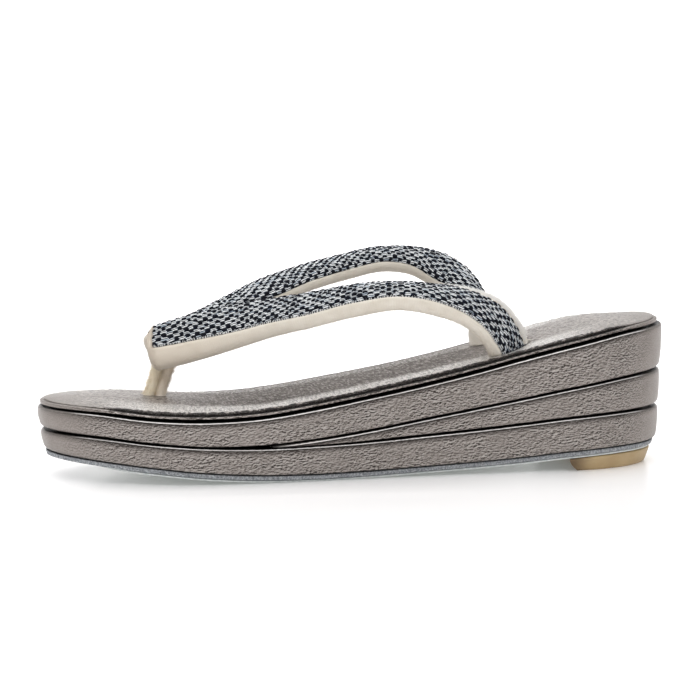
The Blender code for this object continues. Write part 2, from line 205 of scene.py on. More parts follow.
FAR_ARM = (
    (42.3, 4.0, 48.2, 15.0, 9.0, 28, 30, 10),
    (60.3, 5.6, 56.0, 17.0, 9.0, 8, 30, 10),
    (82.4, 8.8, 65.1, 18.5, 9.0, -8, 30, 10),
    (101.5, 18.0, 71.2, 18.5, 9.0, -5, 30, 10),
    (120.5, 26.5, 75.3, 18.5, 9.0, -5, 30, 10),
    (136.5, 30.0, 78.0, 18.5, 9.0, -8, 30, 10),
    (150.3, 31.0, 76.9, 19.0, 9.3, -18, 30, 10),
    (162.1, 28.4, 71.9, 19.5, 10.0, -24, 32, 12),
    (171.4, 23.8, 63.2, 20.0, 10.5, 8, 34, 16),
    (176.6, 19.2, 51.0, 20.0, 10.5, 66, 34, 20),
    (178.7, 17.2, 40.8, 20.0, 10.5, 82, 34, 20),
)
STRAP_SQUARENESS = 2.4  # 2 is an ellipse, and more is squarer
NOSE = 5.0  # length of the rounding at an arm's front end
NOSE_POWER = 3.5
FACE_START = 2.6  # from the nose to the woven face
FACE_BED = 1.3  # depth of the bed that the woven face lies in
FRONT_BACK = 0.8  # how far the front end's inner edge is moved back, to stand upright
FRONT_FORWARD = 2.4  # and how much further forwards its outer edge is
FRONT_FADE = 14.0
JOINT_Y = -0.5  # upright plane where the two arms press together at the front
JOINT_CLEAR = 0.08
REST_CLEAR = 0.15  # between the strap's ends and the insole

# The toe post, two velvet strands one behind the other that lean back as they rise: station, height, length
# along the sole, and width
POST_ROWS = (
    (43.2, 25.2, 9.4, 5.8),
    (43.9, 31.2, 8.3, 5.2),
    (45.6, 36.2, 8.1, 5.2),
    (47.2, 41.2, 8.6, 5.6),
    (48.4, 48.2, 9.0, 6.0),
)
POST_FOOT = 29.0
POST_TOP = 47.5
POST_FIBRES = 1200
POST_NAP = 1.6  # length of the pile on the toe post
POST_BARE = 1.5  # height above the foot from which the pile stands
POST_FIBRE_WIDTH = 0.13
POST_SIDES = 40
POST_RINGS = 60

FIBRE_WIDTH = 0.16
FIBRE_ROOT = 0.15  # depth of a fibre's root under the velvet
# Where the velvet's pile stands up: from and to which distance, from and to which angle, how many fibres, and
# how long they are. Angles start at the woven face's outer border, or, from 180 on, at its inner border.
NEAR_NAP = (
    (0.0, 3.0, -110.0, 100.0, 900, 0.9),
    (3.0, 150.0, -75.0, -6.0, 6000, 0.9),
    (3.0, 92.0, 182.0, 200.0, 1500, 0.7),
)
NEAR_FRINGE = (
    (104.0, 152.0, 181.0, 222.0, 6000, 1.2),
)
FAR_NAP = (
    (1.0, 150.0, -75.0, -8.0, 5000, 0.6),
    (1.0, 148.0, 182.0, 240.0, 5000, 0.6),
)

# The weave: lengthwise rows that pass over and under crosswise yarns
ROW_PITCH = 1.57
CROSS_PITCH = 2.0
WEAVE_RELIEF = 0.7
STRANDS = 2.0  # in each light yarn
STRAND_GROOVE = 0.45
FACE_PROUD = 0.1
MEAN_RELIEF = 0.75  # share of the relief that lies level with the strap
BORDER_DROP = 0.4  # how far the face's borders turn down, and over which width
BORDER_WIDTH = 0.8
RIB_PITCH = 0.85  # distance along an arm between the velvet's fine ribs
NOSE_SHADE = (-80.0, -20.0)  # places along X between which the shade painted at the velvet's nose fades
TICK_PITCH = 1.0  # of the short stitches along a woven face's outer border

# Shades of the studio's dome against the sine of the elevation
DOME_SHADES = ((0.02, 0.28), (1.0, 0.52), (0.30, 0.48))

# The camera, in the photograph's direction
CAMERA_DISTANCE = 1.0
CAMERA_AZIMUTH = -8.65
CAMERA_ELEVATION = 6.0
CAMERA_ROLL = -0.5
CAMERA_TARGET = Vector((-0.00128, 0.0, 0.04531))
CAMERA_LENS = 133.4
CAMERA_SENSOR = 36.0


# Shared maths


def smooth_step(t):
    t = np.clip(t, 0.0, 1.0)
    return t * t * (3 - 2 * t)


def quarter_round(t):
    """Rises from 0 to 1 along a quarter of an ellipse."""
    return np.sqrt(1 - (1 - np.clip(t, 0.0, 1.0)) ** 2)


def quarter_turns(steps):
    return np.linspace(0, math.pi / 2, steps + 1)


def between(start, end, count):
    """Evenly spaced numbers between two ends, without the ends."""
    return np.linspace(start, end, count + 2)[1:-1]


def blend(share, first, second):
    """The first at share 0 and the second at share 1."""
    return first * (1 - share) + second * share


def bell(distance):
    return np.exp(-(distance**2))


def unit(vectors):
    """The same directions, with a length of 1."""
    return vectors / np.linalg.norm(vectors, axis=-1, keepdims=True)


def through_points(at, values, wanted):
    """Smooth curve through the rows of values that lie at the places `at`, read at the wanted places."""
    slopes = np.gradient(values, at, axis=0)
    index = np.clip(np.searchsorted(at, wanted) - 1, 0, len(at) - 2)
    span = (at[index + 1] - at[index])[:, None]
    t = (wanted - at[index])[:, None] / span
    start = values[index] * (2 * t**3 - 3 * t**2 + 1)
    end = values[index + 1] * (3 * t**2 - 2 * t**3)
    leaving = slopes[index] * span * (t**3 - 2 * t**2 + t)
    arriving = slopes[index + 1] * span * (t**3 - t**2)
    return start + end + leaving + arriving


def chance(cells, seed):
    """A random number from 0 to 1 for each whole-numbered cell, the same in every run."""
    factors = np.array([73856093, 19349663, 83492791])[: cells.shape[-1]]
    mixed = ((cells * factors).sum(axis=-1) + seed * 974711) & 0xFFFFFFFF
    mixed = ((mixed ^ (mixed >> 15)) * 0x2C1B3C6D) & 0xFFFFFFFF
    mixed = ((mixed ^ (mixed >> 12)) * 0x297A2D39) & 0xFFFFFFFF
    return (mixed ^ (mixed >> 15)) / 2**32


def noise(points, size, seed):
    """Smooth random values from -1 to 1, with bumps of about the given size."""
    scaled = points / size
    cells = np.floor(scaled).astype(np.int64)
    share = smooth_step(scaled - cells)
    total = 0.0
    for corner in np.ndindex(*(2,) * points.shape[-1]):
        weight = np.prod(np.where(np.array(corner) == 1, share, 1 - share), axis=-1)
        total = total + weight * chance(cells + np.array(corner), seed)
    return 2 * total - 1


def crackle(points, size, seed):
    """Distance to the border between neighbouring random cells, as a share of a cell's size."""
    scaled = points / size
    cells = np.floor(scaled).astype(np.int64)
    nearest = np.full(len(points), 9.0)
    second = np.full(len(points), 9.0)
    for step in np.ndindex(*(3,) * points.shape[-1]):
        corner = cells + np.array(step) - 1
        seeds = np.stack([chance(corner, seed + i) for i in range(points.shape[-1])], axis=-1)
        distance = np.linalg.norm(corner + seeds - scaled, axis=-1)
        second = np.minimum(second, np.maximum(nearest, distance))
        nearest = np.minimum(nearest, distance)
    return second - nearest


# Meshes


def skin(name, rings, marks=None, close=True):
    """Object through rings of points in millimetres. Marks are named numbers for each point."""
    count, around = rings.shape[:2]
    index = np.arange(count * around).reshape(count, around)
    following = np.roll(index, -1, axis=1)
    quads = np.stack((index[:-1], following[:-1], following[1:], index[1:]), axis=-1).reshape(-1, 4)
    mesh = bpy.data.meshes.new(name)
    faces = quads.tolist()
    if close:
        faces += [index[0].tolist()[::-1], index[-1].tolist()]
    mesh.from_pydata((rings.reshape(-1, 3) * MM).tolist(), [], faces)
    for key, values in (marks or {}).items():
        attribute = mesh.attributes.new(key, "FLOAT", "POINT")
        attribute.data.foreach_set("value", np.ascontiguousarray(values, dtype=np.float32).ravel())
    return finished(name, mesh)


def finished(name, mesh):
    """Welds a mesh, turns its faces outwards and shades it smooth."""
    shape = bmesh.new()
    shape.from_mesh(mesh)
    bmesh.ops.remove_doubles(shape, verts=shape.verts, dist=MERGE_M)
    bmesh.ops.dissolve_degenerate(shape, edges=shape.edges, dist=MERGE_M)
    bmesh.ops.recalc_face_normals(shape, faces=shape.faces)
    shape.to_mesh(mesh)
    shape.free()
    mesh.shade_smooth()
    return put_in_scene(name, mesh)


def put_in_scene(name, data):
    """A new object for a mesh, a light or a camera."""
    made = bpy.data.objects.new(name, data)
    bpy.context.scene.collection.objects.link(made)
    return made


def read(items, key, width):
    """Numbers of every point of a mesh, with a row for each point."""
    values = np.empty(len(items) * width, np.float32)
    items.foreach_get(key, values)
    return values.reshape(-1, width).astype(float)


def read_points(piece):
    return read(piece.data.vertices, "co", 3) / MM


def read_mark(piece, key):
    return read(piece.data.attributes[key].data, "value", 1)[:, 0]


def write_mark(piece, key, values):
    attribute = piece.data.attributes.get(key) or piece.data.attributes.new(key, "FLOAT", "POINT")
    attribute.data.foreach_set("value", np.ascontiguousarray(values, dtype=np.float32))


def raise_points(piece, heights):
    """Moves each point along its normal by a height in millimetres."""
    points = read_points(piece) + read(piece.data.vertices, "normal", 3) * heights[:, None]
    piece.data.vertices.foreach_set("co", (points * MM).astype(np.float32).ravel())
    piece.data.update()


def dress(piece, finish, node):
    """Gives a piece its material, and lets it stand for a CAD node."""
    piece.data.materials.append(finish)
    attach(piece, "root")
    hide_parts(node)
    return piece


# Sole


def half_width(stations):
    share = smooth_step((stations - WAIST_START) / (WAIST_END - WAIST_START))
    side = blend(share, BALL_HALF_WIDTH, HEEL_HALF_WIDTH)
    return side * quarter_round(stations / TOE_ROUND) * quarter_round((LENGTH - stations) / HEEL_ROUND)


def outline_stations(start=0.0):
    """Stations from the start to the heel, close together where the outline turns."""
    toe = TOE_ROUND * (1 - np.cos(quarter_turns(TOE_STEPS)[:-1]))
    sides = np.linspace(TOE_ROUND, LENGTH - HEEL_ROUND, SIDE_STEPS + 1)
    heel = LENGTH - HEEL_ROUND * (1 - np.cos(quarter_turns(HEEL_STEPS)[-2::-1]))
    stations = np.concatenate((toe, sides, heel))
    if start == 0.0:
        return stations
    return np.concatenate(([start], stations[stations > start + 0.2]))


def facing(stations):
    """Direction that the near side of the outline faces, as (along, across)."""
    step = 0.01
    slope = (half_width(stations + step) - half_width(stations - step)) / (2 * step)
    size = np.hypot(slope, 1.0)
    along = np.where(stations <= 0, -1.0, np.where(stations >= LENGTH, 1.0, -slope / size))
    across = np.where((stations <= 0) | (stations >= LENGTH), 0.0, 1 / size)
    return along, across


def seam(name, stations):
    """Height of a seam: a smooth curve through its column of the table."""
    rows = Seams(*np.array(SEAM_ROWS, float).T)
    return through_points(rows.station, getattr(rows, name)[:, None], np.asarray(stations, float))[:, 0]


def outsole_under(stations):
    return seam("outsole", stations) - OUTSOLE_THICKNESS


def tread_under(stations):
    """Underside of the tread, flat on the floor under the ball of the foot."""
    return np.maximum(outsole_under(stations) - THIN_GAP - TREAD_THICKNESS, 0.0)


def tread_top(stations):
    return outsole_under(stations) - THIN_GAP


def lift_top(stations):
    return tread_under(stations) - THIN_GAP


def along_sides(stations, stretch):
    """1 along the sides, falling smoothly to 0 at the toe's and the heel's ends."""
    toe, toe_reach, heel, heel_reach = stretch
    return smooth_step((stations - toe) / toe_reach) * smooth_step((LENGTH - heel - stations) / heel_reach)


def gathered(stations):
    return along_sides(stations, GATHERED)


def border_height(stations):
    return BORDER_HEIGHT + BORDER_PUFF * gathered(stations)


def top_height(stations, y):
    """Height of the insole's top over its seam."""
    flat = along_sides(stations, LEANING)
    low = along_sides(stations, LOW_MIDDLE)
    at_post = bell((stations - POST_ROWS[0][0]) / POST_SWELL_REACH)
    edge = np.maximum(half_width(stations) - PUFF_INSET * facing(stations)[1], 1.0)
    share = np.clip(y / edge, -1.0, 1.0)
    crown = TOP_CROWN - BORDER_PUFF * gathered(stations) - LOW_CROWN * low + POST_SWELL * at_post
    crown = crown * np.minimum(1.0, edge / HEEL_HALF_WIDTH)
    return border_height(stations) - FAR_DROP * flat * (share + 1) / 2 + crown * (1 - share**2)


def insole_top(x, y):
    """Height of the insole's top at places in millimetres."""
    stations = np.clip(x + CENTRE, 0.5, LENGTH - 0.5)
    return seam("insole", stations) + top_height(stations, y) - hollows(x, y)


def hollows(x, y):
    """Depth to which the strap's ends and the toe post press the insole in."""
    total = 0.0
    for place in HOLLOWS:
        away = np.hypot((x + CENTRE - place.station) / place.length, (y - place.outward) / place.width)
        total = total + place.depth * bell(away)
    return total


# A row of a layer's side: how far it lies inside the outline, its share of the way up from the lower seam to
# the upper one, its height over that, and how open it lies, from 0 in a groove to 1
Row = namedtuple("Row", "inset share lift shown")


def side_insets(side, stations):
    """How far a layer's underside and its top lie inside the insole's outline."""
    along = stations / LENGTH
    under = blend(along, side.under_toe, side.under_heel)
    return under, blend(along, side.top_toe, side.top_heel)


def groove_rows(mouth, share):
    """Rows of a groove from its back to halfway out, where it is as high as the mouth."""
    zero = np.zeros_like(mouth)
    steps = ((GROOVE_BACK + 2, zero), (GROOVE_BACK, zero), (GROOVE_FLOOR, mouth), (GROOVE_FLOOR / 2, mouth))
    return [Row(inset + zero, share, lift, 0.0) for inset, lift in steps]


def side_rows(side, stations, thickness):
    """Rows from a layer's underside, out of the groove below and into the groove above."""
    under, top = side_insets(side, stations)
    fullness = np.clip(thickness / FULL_GROOVE, 0.0, 1.0)
    low_mouth, high_mouth = MOUTH_ABOVE * fullness, MOUTH_BELOW * fullness
    turned = facing(stations)[0] ** 2
    low_lip = (LIP_ABOVE + END_LIP_ABOVE * turned) * fullness
    high_lip = (LIP_BELOW + END_LIP_BELOW * turned) * fullness
    rows = groove_rows(low_mouth, 0.0)
    for turn in quarter_turns(LIP_STEPS):
        inset = under + low_lip * (1 - np.sin(turn))
        rows.append(Row(inset, 0.0, low_mouth + low_lip * (1 - np.cos(turn)), np.sin(turn)))
    for share in between(0, 1, SIDE_ROWS):
        inset = blend(share, under, top) - side.belly * 4 * share * (1 - share)
        rows.append(Row(inset, share, blend(share, low_mouth + low_lip, -high_mouth - high_lip), 1.0))
    for turn in quarter_turns(LIP_STEPS):
        inset = top + high_lip * (1 - np.cos(turn))
        rows.append(Row(inset, 1.0, -high_mouth - high_lip * (1 - np.sin(turn)), np.cos(turn)))
    return rows + groove_rows(-high_mouth, 1.0)[::-1]


def rings_of_rows(stations, rows, low, high, columns, shown_top=0.0):
    """Rings round a layer's sections, and the mark `shown` of their points, from 0 in the grooves to 1."""
    along, across = facing(stations)
    width = half_width(stations)
    near, shown = [], []
    for row in rows:
        place = stations - row.inset * along
        height = blend(row.share, low(place), high(place)) + row.lift
        near.append(np.stack((place - CENTRE, -np.maximum(width - row.inset * across, 0.0), height), axis=-1))
        shown.append(np.full(len(stations), row.shown))
    far = [points * np.array([1.0, -1.0, 1.0]) for points in reversed(near)]
    top = [near[-1] * np.array([1.0, -share, 1.0]) for share in between(-1, 1, columns)]
    under = [near[0] * np.array([1.0, -share, 1.0]) for share in between(1, -1, UNDER_COLUMNS)]
    plain = [np.full(len(stations), shown_top)] * columns
    hidden = [np.zeros(len(stations))] * UNDER_COLUMNS
    marks = {"shown": np.stack(shown + plain + shown[::-1] + hidden, axis=1)}
    return np.stack(near + top + far + under, axis=1), marks


def end_calm(points):
    """1 along the sides, where the leather is crinkled, and less at the toe's and the heel's ends."""
    return 0.2 + 0.8 * along_sides(points[:, 0] + CENTRE, CRINKLED)


# Creases placed on the leather sides: station, share of the way up, length, lean in degrees, depth
# and side, which is -1 for the near one
CORE_CREASES = {
    "upper_core": (
        (74, 0.45, 7.0, 12, 0.22, -1),
        (97, 0.62, 9.0, -8, 0.20, -1),
        (131, 0.50, 8.0, 24, 0.25, -1),
        (158, 0.38, 11.0, 30, 0.28, -1),
        (181, 0.55, 9.0, 22, 0.26, -1),
        (203, 0.42, 8.0, 14, 0.20, -1),
        (88, 0.52, 9.0, 10, 0.22, 1),
        (126, 0.40, 8.0, -12, 0.24, 1),
        (166, 0.58, 10.0, 18, 0.26, 1),
        (196, 0.48, 9.0, 10, 0.22, 1),
    ),
    "middle_core": (
        (176, 0.55, 9.0, 16, 0.22, -1),
        (204, 0.45, 9.0, 12, 0.24, -1),
        (190, 0.50, 9.0, 12, 0.22, 1),
    ),
    "lower_core": (
        (61, 0.55, 8.0, 48, 0.30, -1),
        (66, 0.50, 9.0, 44, 0.30, -1),
        (104, 0.40, 8.0, -20, 0.22, -1),
        (136, 0.45, 10.0, 18, 0.24, -1),
        (168, 0.36, 11.0, 14, 0.26, -1),
        (196, 0.50, 9.0, 10, 0.22, -1),
        (78, 0.50, 9.0, 30, 0.26, 1),
        (120, 0.45, 9.0, -14, 0.24, 1),
        (172, 0.50, 10.0, 12, 0.24, 1),
    ),
}
CREASE_WIDTH = 0.55
CRACK_SIZE = 2.3  # of the small cells between the leather's cracks
CRACK_WIDTH = 0.16
CRACK_DEPTH = 0.20
LUMP_HEIGHT = 0.06


def creases(points, table, low, high):
    """Soft troughs with a ridge on each side, where the table places them."""
    total = np.zeros(len(points))
    stations = points[:, 0] + CENTRE
    for station, share, length, lean, depth, side in table:
        at = np.array([float(station)])
        lean = math.radians(lean)
        x, z = stations - station, points[:, 2] - blend(share, low(at)[0], high(at)[0])
        along = x * math.cos(lean) + z * math.sin(lean)
        across = z * math.cos(lean) - x * math.sin(lean) + 0.6 * np.sin(along * 1.3)
        fade = np.exp(-((along / (length / 2)) ** 4)) * (points[:, 1] * side > 8.0)
        ridge = bell((np.abs(across) - 2.1 * CREASE_WIDTH) / CREASE_WIDTH)
        total += depth * fade * (0.45 * ridge - bell(across / CREASE_WIDTH))
    return total


def leather_relief(points, seed):
    """Crinkles of thin leather round foam: fine cracks between soft lumps, longer than they are high."""
    stretched = points * np.array([0.55, 1.0, 1.0])
    wander = np.stack([noise(stretched, CRACK_SIZE, seed + i) for i in range(3)], axis=-1)
    cracks = bell(crackle(stretched + 0.5 * wander, CRACK_SIZE, seed + 5) / CRACK_WIDTH)
    patches = smooth_step(0.5 + 1.1 * noise(points, 9.0, seed + 9))
    lumps = noise(stretched, 2.9, seed + 11) + 0.6 * noise(stretched, 1.5, seed + 12)
    return LUMP_HEIGHT * lumps - CRACK_DEPTH * cracks * patches


def core(name, side, low, high, seed, start=0.0):
    """A foam layer wrapped in crinkled leather."""
    stations = outline_stations(start)
    rows = side_rows(side, stations, high(stations) - low(stations))
    rings, marks = rings_of_rows(stations, rows, low, high, CORE_COLUMNS)
    piece = skin(name, rings, marks, close=start > 0)
    points = read_points(piece)
    shown = read_mark(piece, "shown")
    calm = end_calm(points)
    relief = leather_relief(points, seed) * calm + creases(points, CORE_CREASES[name], low, high)
    raise_points(piece, relief * shown)
    if start > 0:
        # the middle layer's start is painted dark as shade, fading out of the groove
        write_mark(piece, "shown", shown * smooth_step((points[:, 0] + CENTRE - start) / WEDGE_FADE))
    write_mark(piece, "crinkle", calm)
    # below places the painted highlight on a lip and the painted shade under it
    write_mark(piece, "below", high(points[:, 0] + CENTRE) - points[:, 2])
    return dress(piece, leather(), name)


def seam_height(name):
    return lambda stations: seam(name, stations)


def insole_rows(stations):
    """Rows of the pad's side: the groove, the rolled rim, the crease behind it and the puffed border."""
    zero = np.zeros_like(stations)
    gathers = gathered(stations)
    mouth = INSOLE_MOUTH + SIDE_MOUTH * gathers
    rows = groove_rows(mouth, 0.0)
    for turn in quarter_turns(ROLL_STEPS):
        lift = mouth + ROLL_FOOT * (1 - np.cos(turn))
        rows.append(Row(ROLL_UNDER * (1 - np.sin(turn)) + zero, 0.0, lift, np.sin(turn)))
    for turn in quarter_turns(ROLL_STEPS):
        lift = ROLL_TURN + (ROLL_TOP - ROLL_TURN) * np.sin(turn)
        rows.append(Row(ROLL_INSET * (1 - np.cos(turn)) + zero, 0.0, lift, 1.0))
    crease = ROLL_TOP - CREASE_DROP * gathers
    rise = border_height(stations) - crease
    for inset, share in CREASE_WALL:
        lift = crease + rise * share if share >= 0 else ROLL_TOP + (crease - ROLL_TOP) * -share
        rows.append(Row(inset + zero, 0.0, lift, 1.0))
    inset, share = CREASE_WALL[-1]
    for turn in quarter_turns(PUFF_STEPS)[1:]:
        puffed = inset + (PUFF_INSET - inset) * (1 - np.cos(turn))
        rows.append(Row(puffed + zero, 0.0, crease + rise * (share + (1 - share) * np.sin(turn)), 1.0))
    return rows


def insole():
    """The cushioned pad on top, with its crown, its gathers and its hollows."""
    stations = outline_stations()
    low = seam_height("insole")
    rings, marks = rings_of_rows(stations, insole_rows(stations), low, low, INSOLE_COLUMNS, 1.0)
    places = np.clip(rings[..., 0] + CENTRE, 0.0, LENGTH).ravel()
    border = border_height(places)
    share = np.clip((rings[..., 2].ravel() - low(places) - ROLL_TOP) / (border - ROLL_TOP), 0.0, 1.0)
    crown = (top_height(places, rings[..., 1].ravel()) - border) * share
    rings[..., 2] += crown.reshape(rings.shape[:2])
    piece = skin("insole_pad", rings, marks, close=False)
    points = read_points(piece)
    shown = read_mark(piece, "shown")
    calm = end_calm(points)
    places = np.clip(points[:, 0] + CENTRE, 0.0, LENGTH)
    inset = (half_width(places) - np.abs(points[:, 1])) * facing(places)[1]
    above = points[:, 2] - low(places)
    gathers = gathered(places) * shown
    on_top = smooth_step((inset - 1.2) / 1.5) * shown
    pleats = noise(points, PLEAT_SIZE, seed=44)
    # painted shade in the fold of the gathers behind the rim
    painted_fold_shade = smooth_step((above - FOLD_FROM) / 0.15)
    painted_fold_shade = painted_fold_shade * (1 - smooth_step((above - FOLD_TO - 0.4 * pleats) / 0.25)) * (gathers * (inset < 3.0))
    pleated = smooth_step((above - 1.8) / 0.4) * (1 - smooth_step((inset - 2.6) / 1.4))
    relief = 0.5 * leather_relief(points, seed=40) * shown * (0.3 + 0.7 * calm)
    relief += PLEAT_HEIGHT * gathers * pleats * pleated
    raise_points(piece, relief - hollows(points[:, 0], points[:, 1]) * on_top)
    # painted highlight along the top's border, and a little over the whole top at toe and heel
    painted_highlight = smooth_step((inset - BRIGHT_FROM) / 0.8) * (1 - smooth_step((inset - BRIGHT_TO) / BRIGHT_FADE))
    painted_highlight = blend(along_sides(places, BRIGHT), END_BRIGHT * on_top, painted_highlight)
    # painted shade and dark reflection over the top's middle, out to the far border on the far side
    painted_middle_shade = np.where(points[:, 1] > 0, on_top, smooth_step((inset - DIM_FROM) / DIM_FADE))
    write_mark(piece, "crinkle", calm)
    write_mark(piece, "below", np.full(len(points), NO_LIP))
    # the mark border: painted highlight along the top's border, and below 0 painted shade in the gathers' fold
    write_mark(piece, "border", painted_highlight * shown * (1 - painted_fold_shade) - painted_fold_shade)
    # dark grain specks and painted glints of highlight on the top
    write_mark(piece, "grain_and_glints", smooth_step((inset - 3.5) / 2.0) * shown * along_sides(places, GRAINED))
    # the mark middle paints shade and a dark reflection over the top's middle, and makes it rougher
    write_mark(piece, "middle", painted_middle_shade * along_sides(places, DIM))
    return dress(piece, leather(), "insole")


def thin_sheet(name, node, side, low, high, finish, extra=lambda stations: 0.0):
    """A flat sheet of rubber with square edges."""
    stations = outline_stations()
    under, top = (inset + extra(stations) for inset in side_insets(side, stations))
    rows = [Row(under + inset, 0.0, 0.0, shown) for inset, shown in ((8.0, 0.0), (2.0, 0.0), (0.15, 1.0))]
    for share in (0.0, 0.2, 0.4, 0.6, 0.8, 1.0):
        rows.append(Row(blend(share, under, top), share, SHEET_CORNER * (1 - 2 * share), 1.0))
    rows += [Row(top + inset, 1.0, 0.0, shown) for inset, shown in ((0.15, 1.0), (2.0, 0.0), (8.0, 0.0))]
    piece = skin(name, *rings_of_rows(stations, rows, low, high, SHEET_COLUMNS), close=False)
    return dress(piece, finish, node)


def tread_extra(stations):
    """The tread starts behind the toe, so its edge lies further in there."""
    return (TREAD_START - TREAD_SIDE.top_toe) * (1 - smooth_step(stations / TREAD_BLEND))


def heel_lift():
    """Block under the heel: its front is hollow and leans back, and its corners are soft."""
    stations = outline_stations(LIFT_START - LIFT_LEAN)
    along, across = facing(stations)
    width = half_width(stations)
    reach = float(half_width(np.array([LIFT_START]))[0]) - LIFT_SIDE.top_toe
    radius = (reach**2 + LIFT_HOLLOW**2) / (2 * LIFT_HOLLOW)
    middle = LIFT_START + LIFT_HOLLOW - radius
    rings = []
    for share in np.linspace(0, 1, LIFT_ROWS):
        corner = 0.5 * (1 - quarter_round(share * 6)) + 0.35 * (1 - quarter_round((1 - share) * 8))
        inset = blend(share, LIFT_SIDE.under_toe, LIFT_SIDE.top_toe) + corner
        front = radius + LIFT_LEAN * (1 - share) ** 2
        edge = np.maximum(width - inset * across, 0.0)
        foremost = middle + np.sqrt(np.maximum(front**2 - edge**2, 0.0))
        near = np.stack((np.maximum(stations - inset * along, foremost), -edge), axis=-1)
        far = near[::-1] * np.array([1.0, -1.0])
        front_y = between(far[-1, 1], near[0, 1], LIFT_COLUMNS)
        front_x = middle + np.sqrt(front**2 - front_y**2)
        place, y = np.concatenate((near, far, np.stack((front_x, front_y), axis=-1))).T
        rings.append(np.column_stack((place - CENTRE, y, np.maximum(lift_top(place), LIFT_LEAST) * share)))
    return dress(skin("heel_block", np.stack(rings)), tan_rubber(), "heel_lift")


# Strap

Arm = namedtuple("Arm", "distance scale width thickness outer inner middle across out")


def arm_line(rows, hand):
    """Middles of an arm's sections, and their distances from its nose."""
    values = Strap(*np.array(rows, float).T)
    middles = np.column_stack((values.station - CENTRE, hand * values.outward, values.height))
    lengths = np.linalg.norm(np.diff(middles, axis=0), axis=1)
    return middles, np.concatenate(([0.0], np.cumsum(lengths)))


def arm_frame(rows, hand, wanted):
    """Sizes, middle and directions of an arm's sections at the wanted distances from its nose."""
    middles, at = arm_line(rows, hand)
    sizes = Strap(*through_points(at, np.array(rows, float), wanted).T)
    middle = through_points(at, middles, wanted)
    heading = unit(through_points(at, middles, wanted + 0.5) - through_points(at, middles, wanted - 0.5))
    level = np.cross(heading, UP)
    level *= (np.sign(level[:, 1] * hand) / np.linalg.norm(level, axis=1))[:, None]
    raised = np.cross(heading, level)
    raised *= np.sign(raised[:, 2])[:, None]
    tilt = np.radians(sizes.tilt)[:, None]
    across = level * np.cos(tilt) - raised * np.sin(tilt)
    out = raised * np.cos(tilt) + level * np.sin(tilt)
    left = np.clip(wanted / NOSE, 0.0, 1.0)
    scale = (1 - (1 - left) ** NOSE_POWER) ** (1 / NOSE_POWER)
    borders = (sizes.outer_seam, 180 - sizes.inner_seam)
    return Arm(wanted, scale, sizes.width, sizes.thickness, *borders, middle, across, out)


def arm_surface(arm, degrees, depth):
    """Points of an arm's surface at angles from its outer edge, at a depth below it."""
    power = 2 / STRAP_SQUARENESS
    cosine, sine = np.cos(np.radians(degrees)), np.sin(np.radians(degrees))
    wide = (arm.scale * arm.width / 2)[:, None] - depth
    high = (arm.scale * arm.thickness / 2)[:, None] - depth
    across = np.maximum(wide, 0.0) * np.sign(cosine) * np.abs(cosine) ** power
    up = np.maximum(high, 0.0) * np.sign(sine) * np.abs(sine) ** power
    points = arm.middle[:, None] + across[..., None] * arm.across[:, None] + up[..., None] * arm.out[:, None]
    outwards = smooth_step((across / (arm.width / 2)[:, None] + 1) / 1.25)
    front = 1 - smooth_step(arm.distance / FRONT_FADE)[:, None]
    points[..., 0] += (FRONT_BACK - FRONT_FORWARD * outwards) * front
    return points


def face_surface(arm, shares, depth):
    """Points of an arm at shares of the way from the woven face's outer border to its inner border."""
    return arm_surface(arm, arm.outer[:, None] + (arm.inner - arm.outer)[:, None] * shares, depth)


def pressed(points, hand):
    """Keeps an arm on its own side of the front joint, and on top of the insole."""
    wall = JOINT_Y + hand * JOINT_CLEAR
    y = np.maximum(points[..., 1], wall) if hand > 0 else np.minimum(points[..., 1], wall)
    rest = insole_top(points[..., 0].ravel(), y.ravel()).reshape(y.shape) + REST_CLEAR
    return np.stack((points[..., 0], y, np.maximum(points[..., 2], rest)), axis=-1)


VELVET_STEP = 0.7
VELVET_POINTS = 56
NOSE_STEPS = 10
BED_POINTS = 12
VELVET_LIP = 0.9  # radius of the velvet's rounding where the woven face begins
LIP_SPREAD = 6.0


def velvet_arm(name, rows, hand):
    """One padded velvet arm, from its closed nose to the sole, with a bed for the woven face."""
    end = arm_line(rows, hand)[1][-1]
    nose = NOSE * (1 - np.cos(quarter_turns(NOSE_STEPS)))
    wanted = np.concatenate((nose, np.arange(NOSE + VELVET_STEP, end, VELVET_STEP), [end]))
    arm = arm_frame(rows, hand, wanted)
    share = (1 - np.cos(np.linspace(0, math.pi, VELVET_POINTS))) / 2
    share = 0.5 * share + 0.5 * np.linspace(0, 1, VELVET_POINTS)
    span = (arm.outer + 360 - arm.inner)[:, None]
    edge = np.minimum(share, 1 - share) * np.radians(span) * LIP_SPREAD
    sunk = smooth_step((arm.distance - FACE_START + 0.5) / 1.0)[:, None]
    lip = VELVET_LIP * (1 - quarter_round(edge / VELVET_LIP)) * sunk
    velvet = arm_surface(arm, arm.inner[:, None] + span * share, lip)
    bed = face_surface(arm, between(0, 1, BED_POINTS), FACE_BED * sunk)
    rings = pressed(np.concatenate((velvet, bed), axis=1), hand)
    piece = skin(name, rings, {"distance": np.broadcast_to(wanted[:, None], rings.shape[:2])})
    dress(piece, off_white_velvet(), "upper")
    return piece


FACE_STEP = 0.28
FACE_POINTS = 66
FACE_FINE = 160  # steps in which the line across the face is measured
FACE_UNDER = 8
NO_EDGE = 9.0  # distance from the outer border that is too large for its stitches


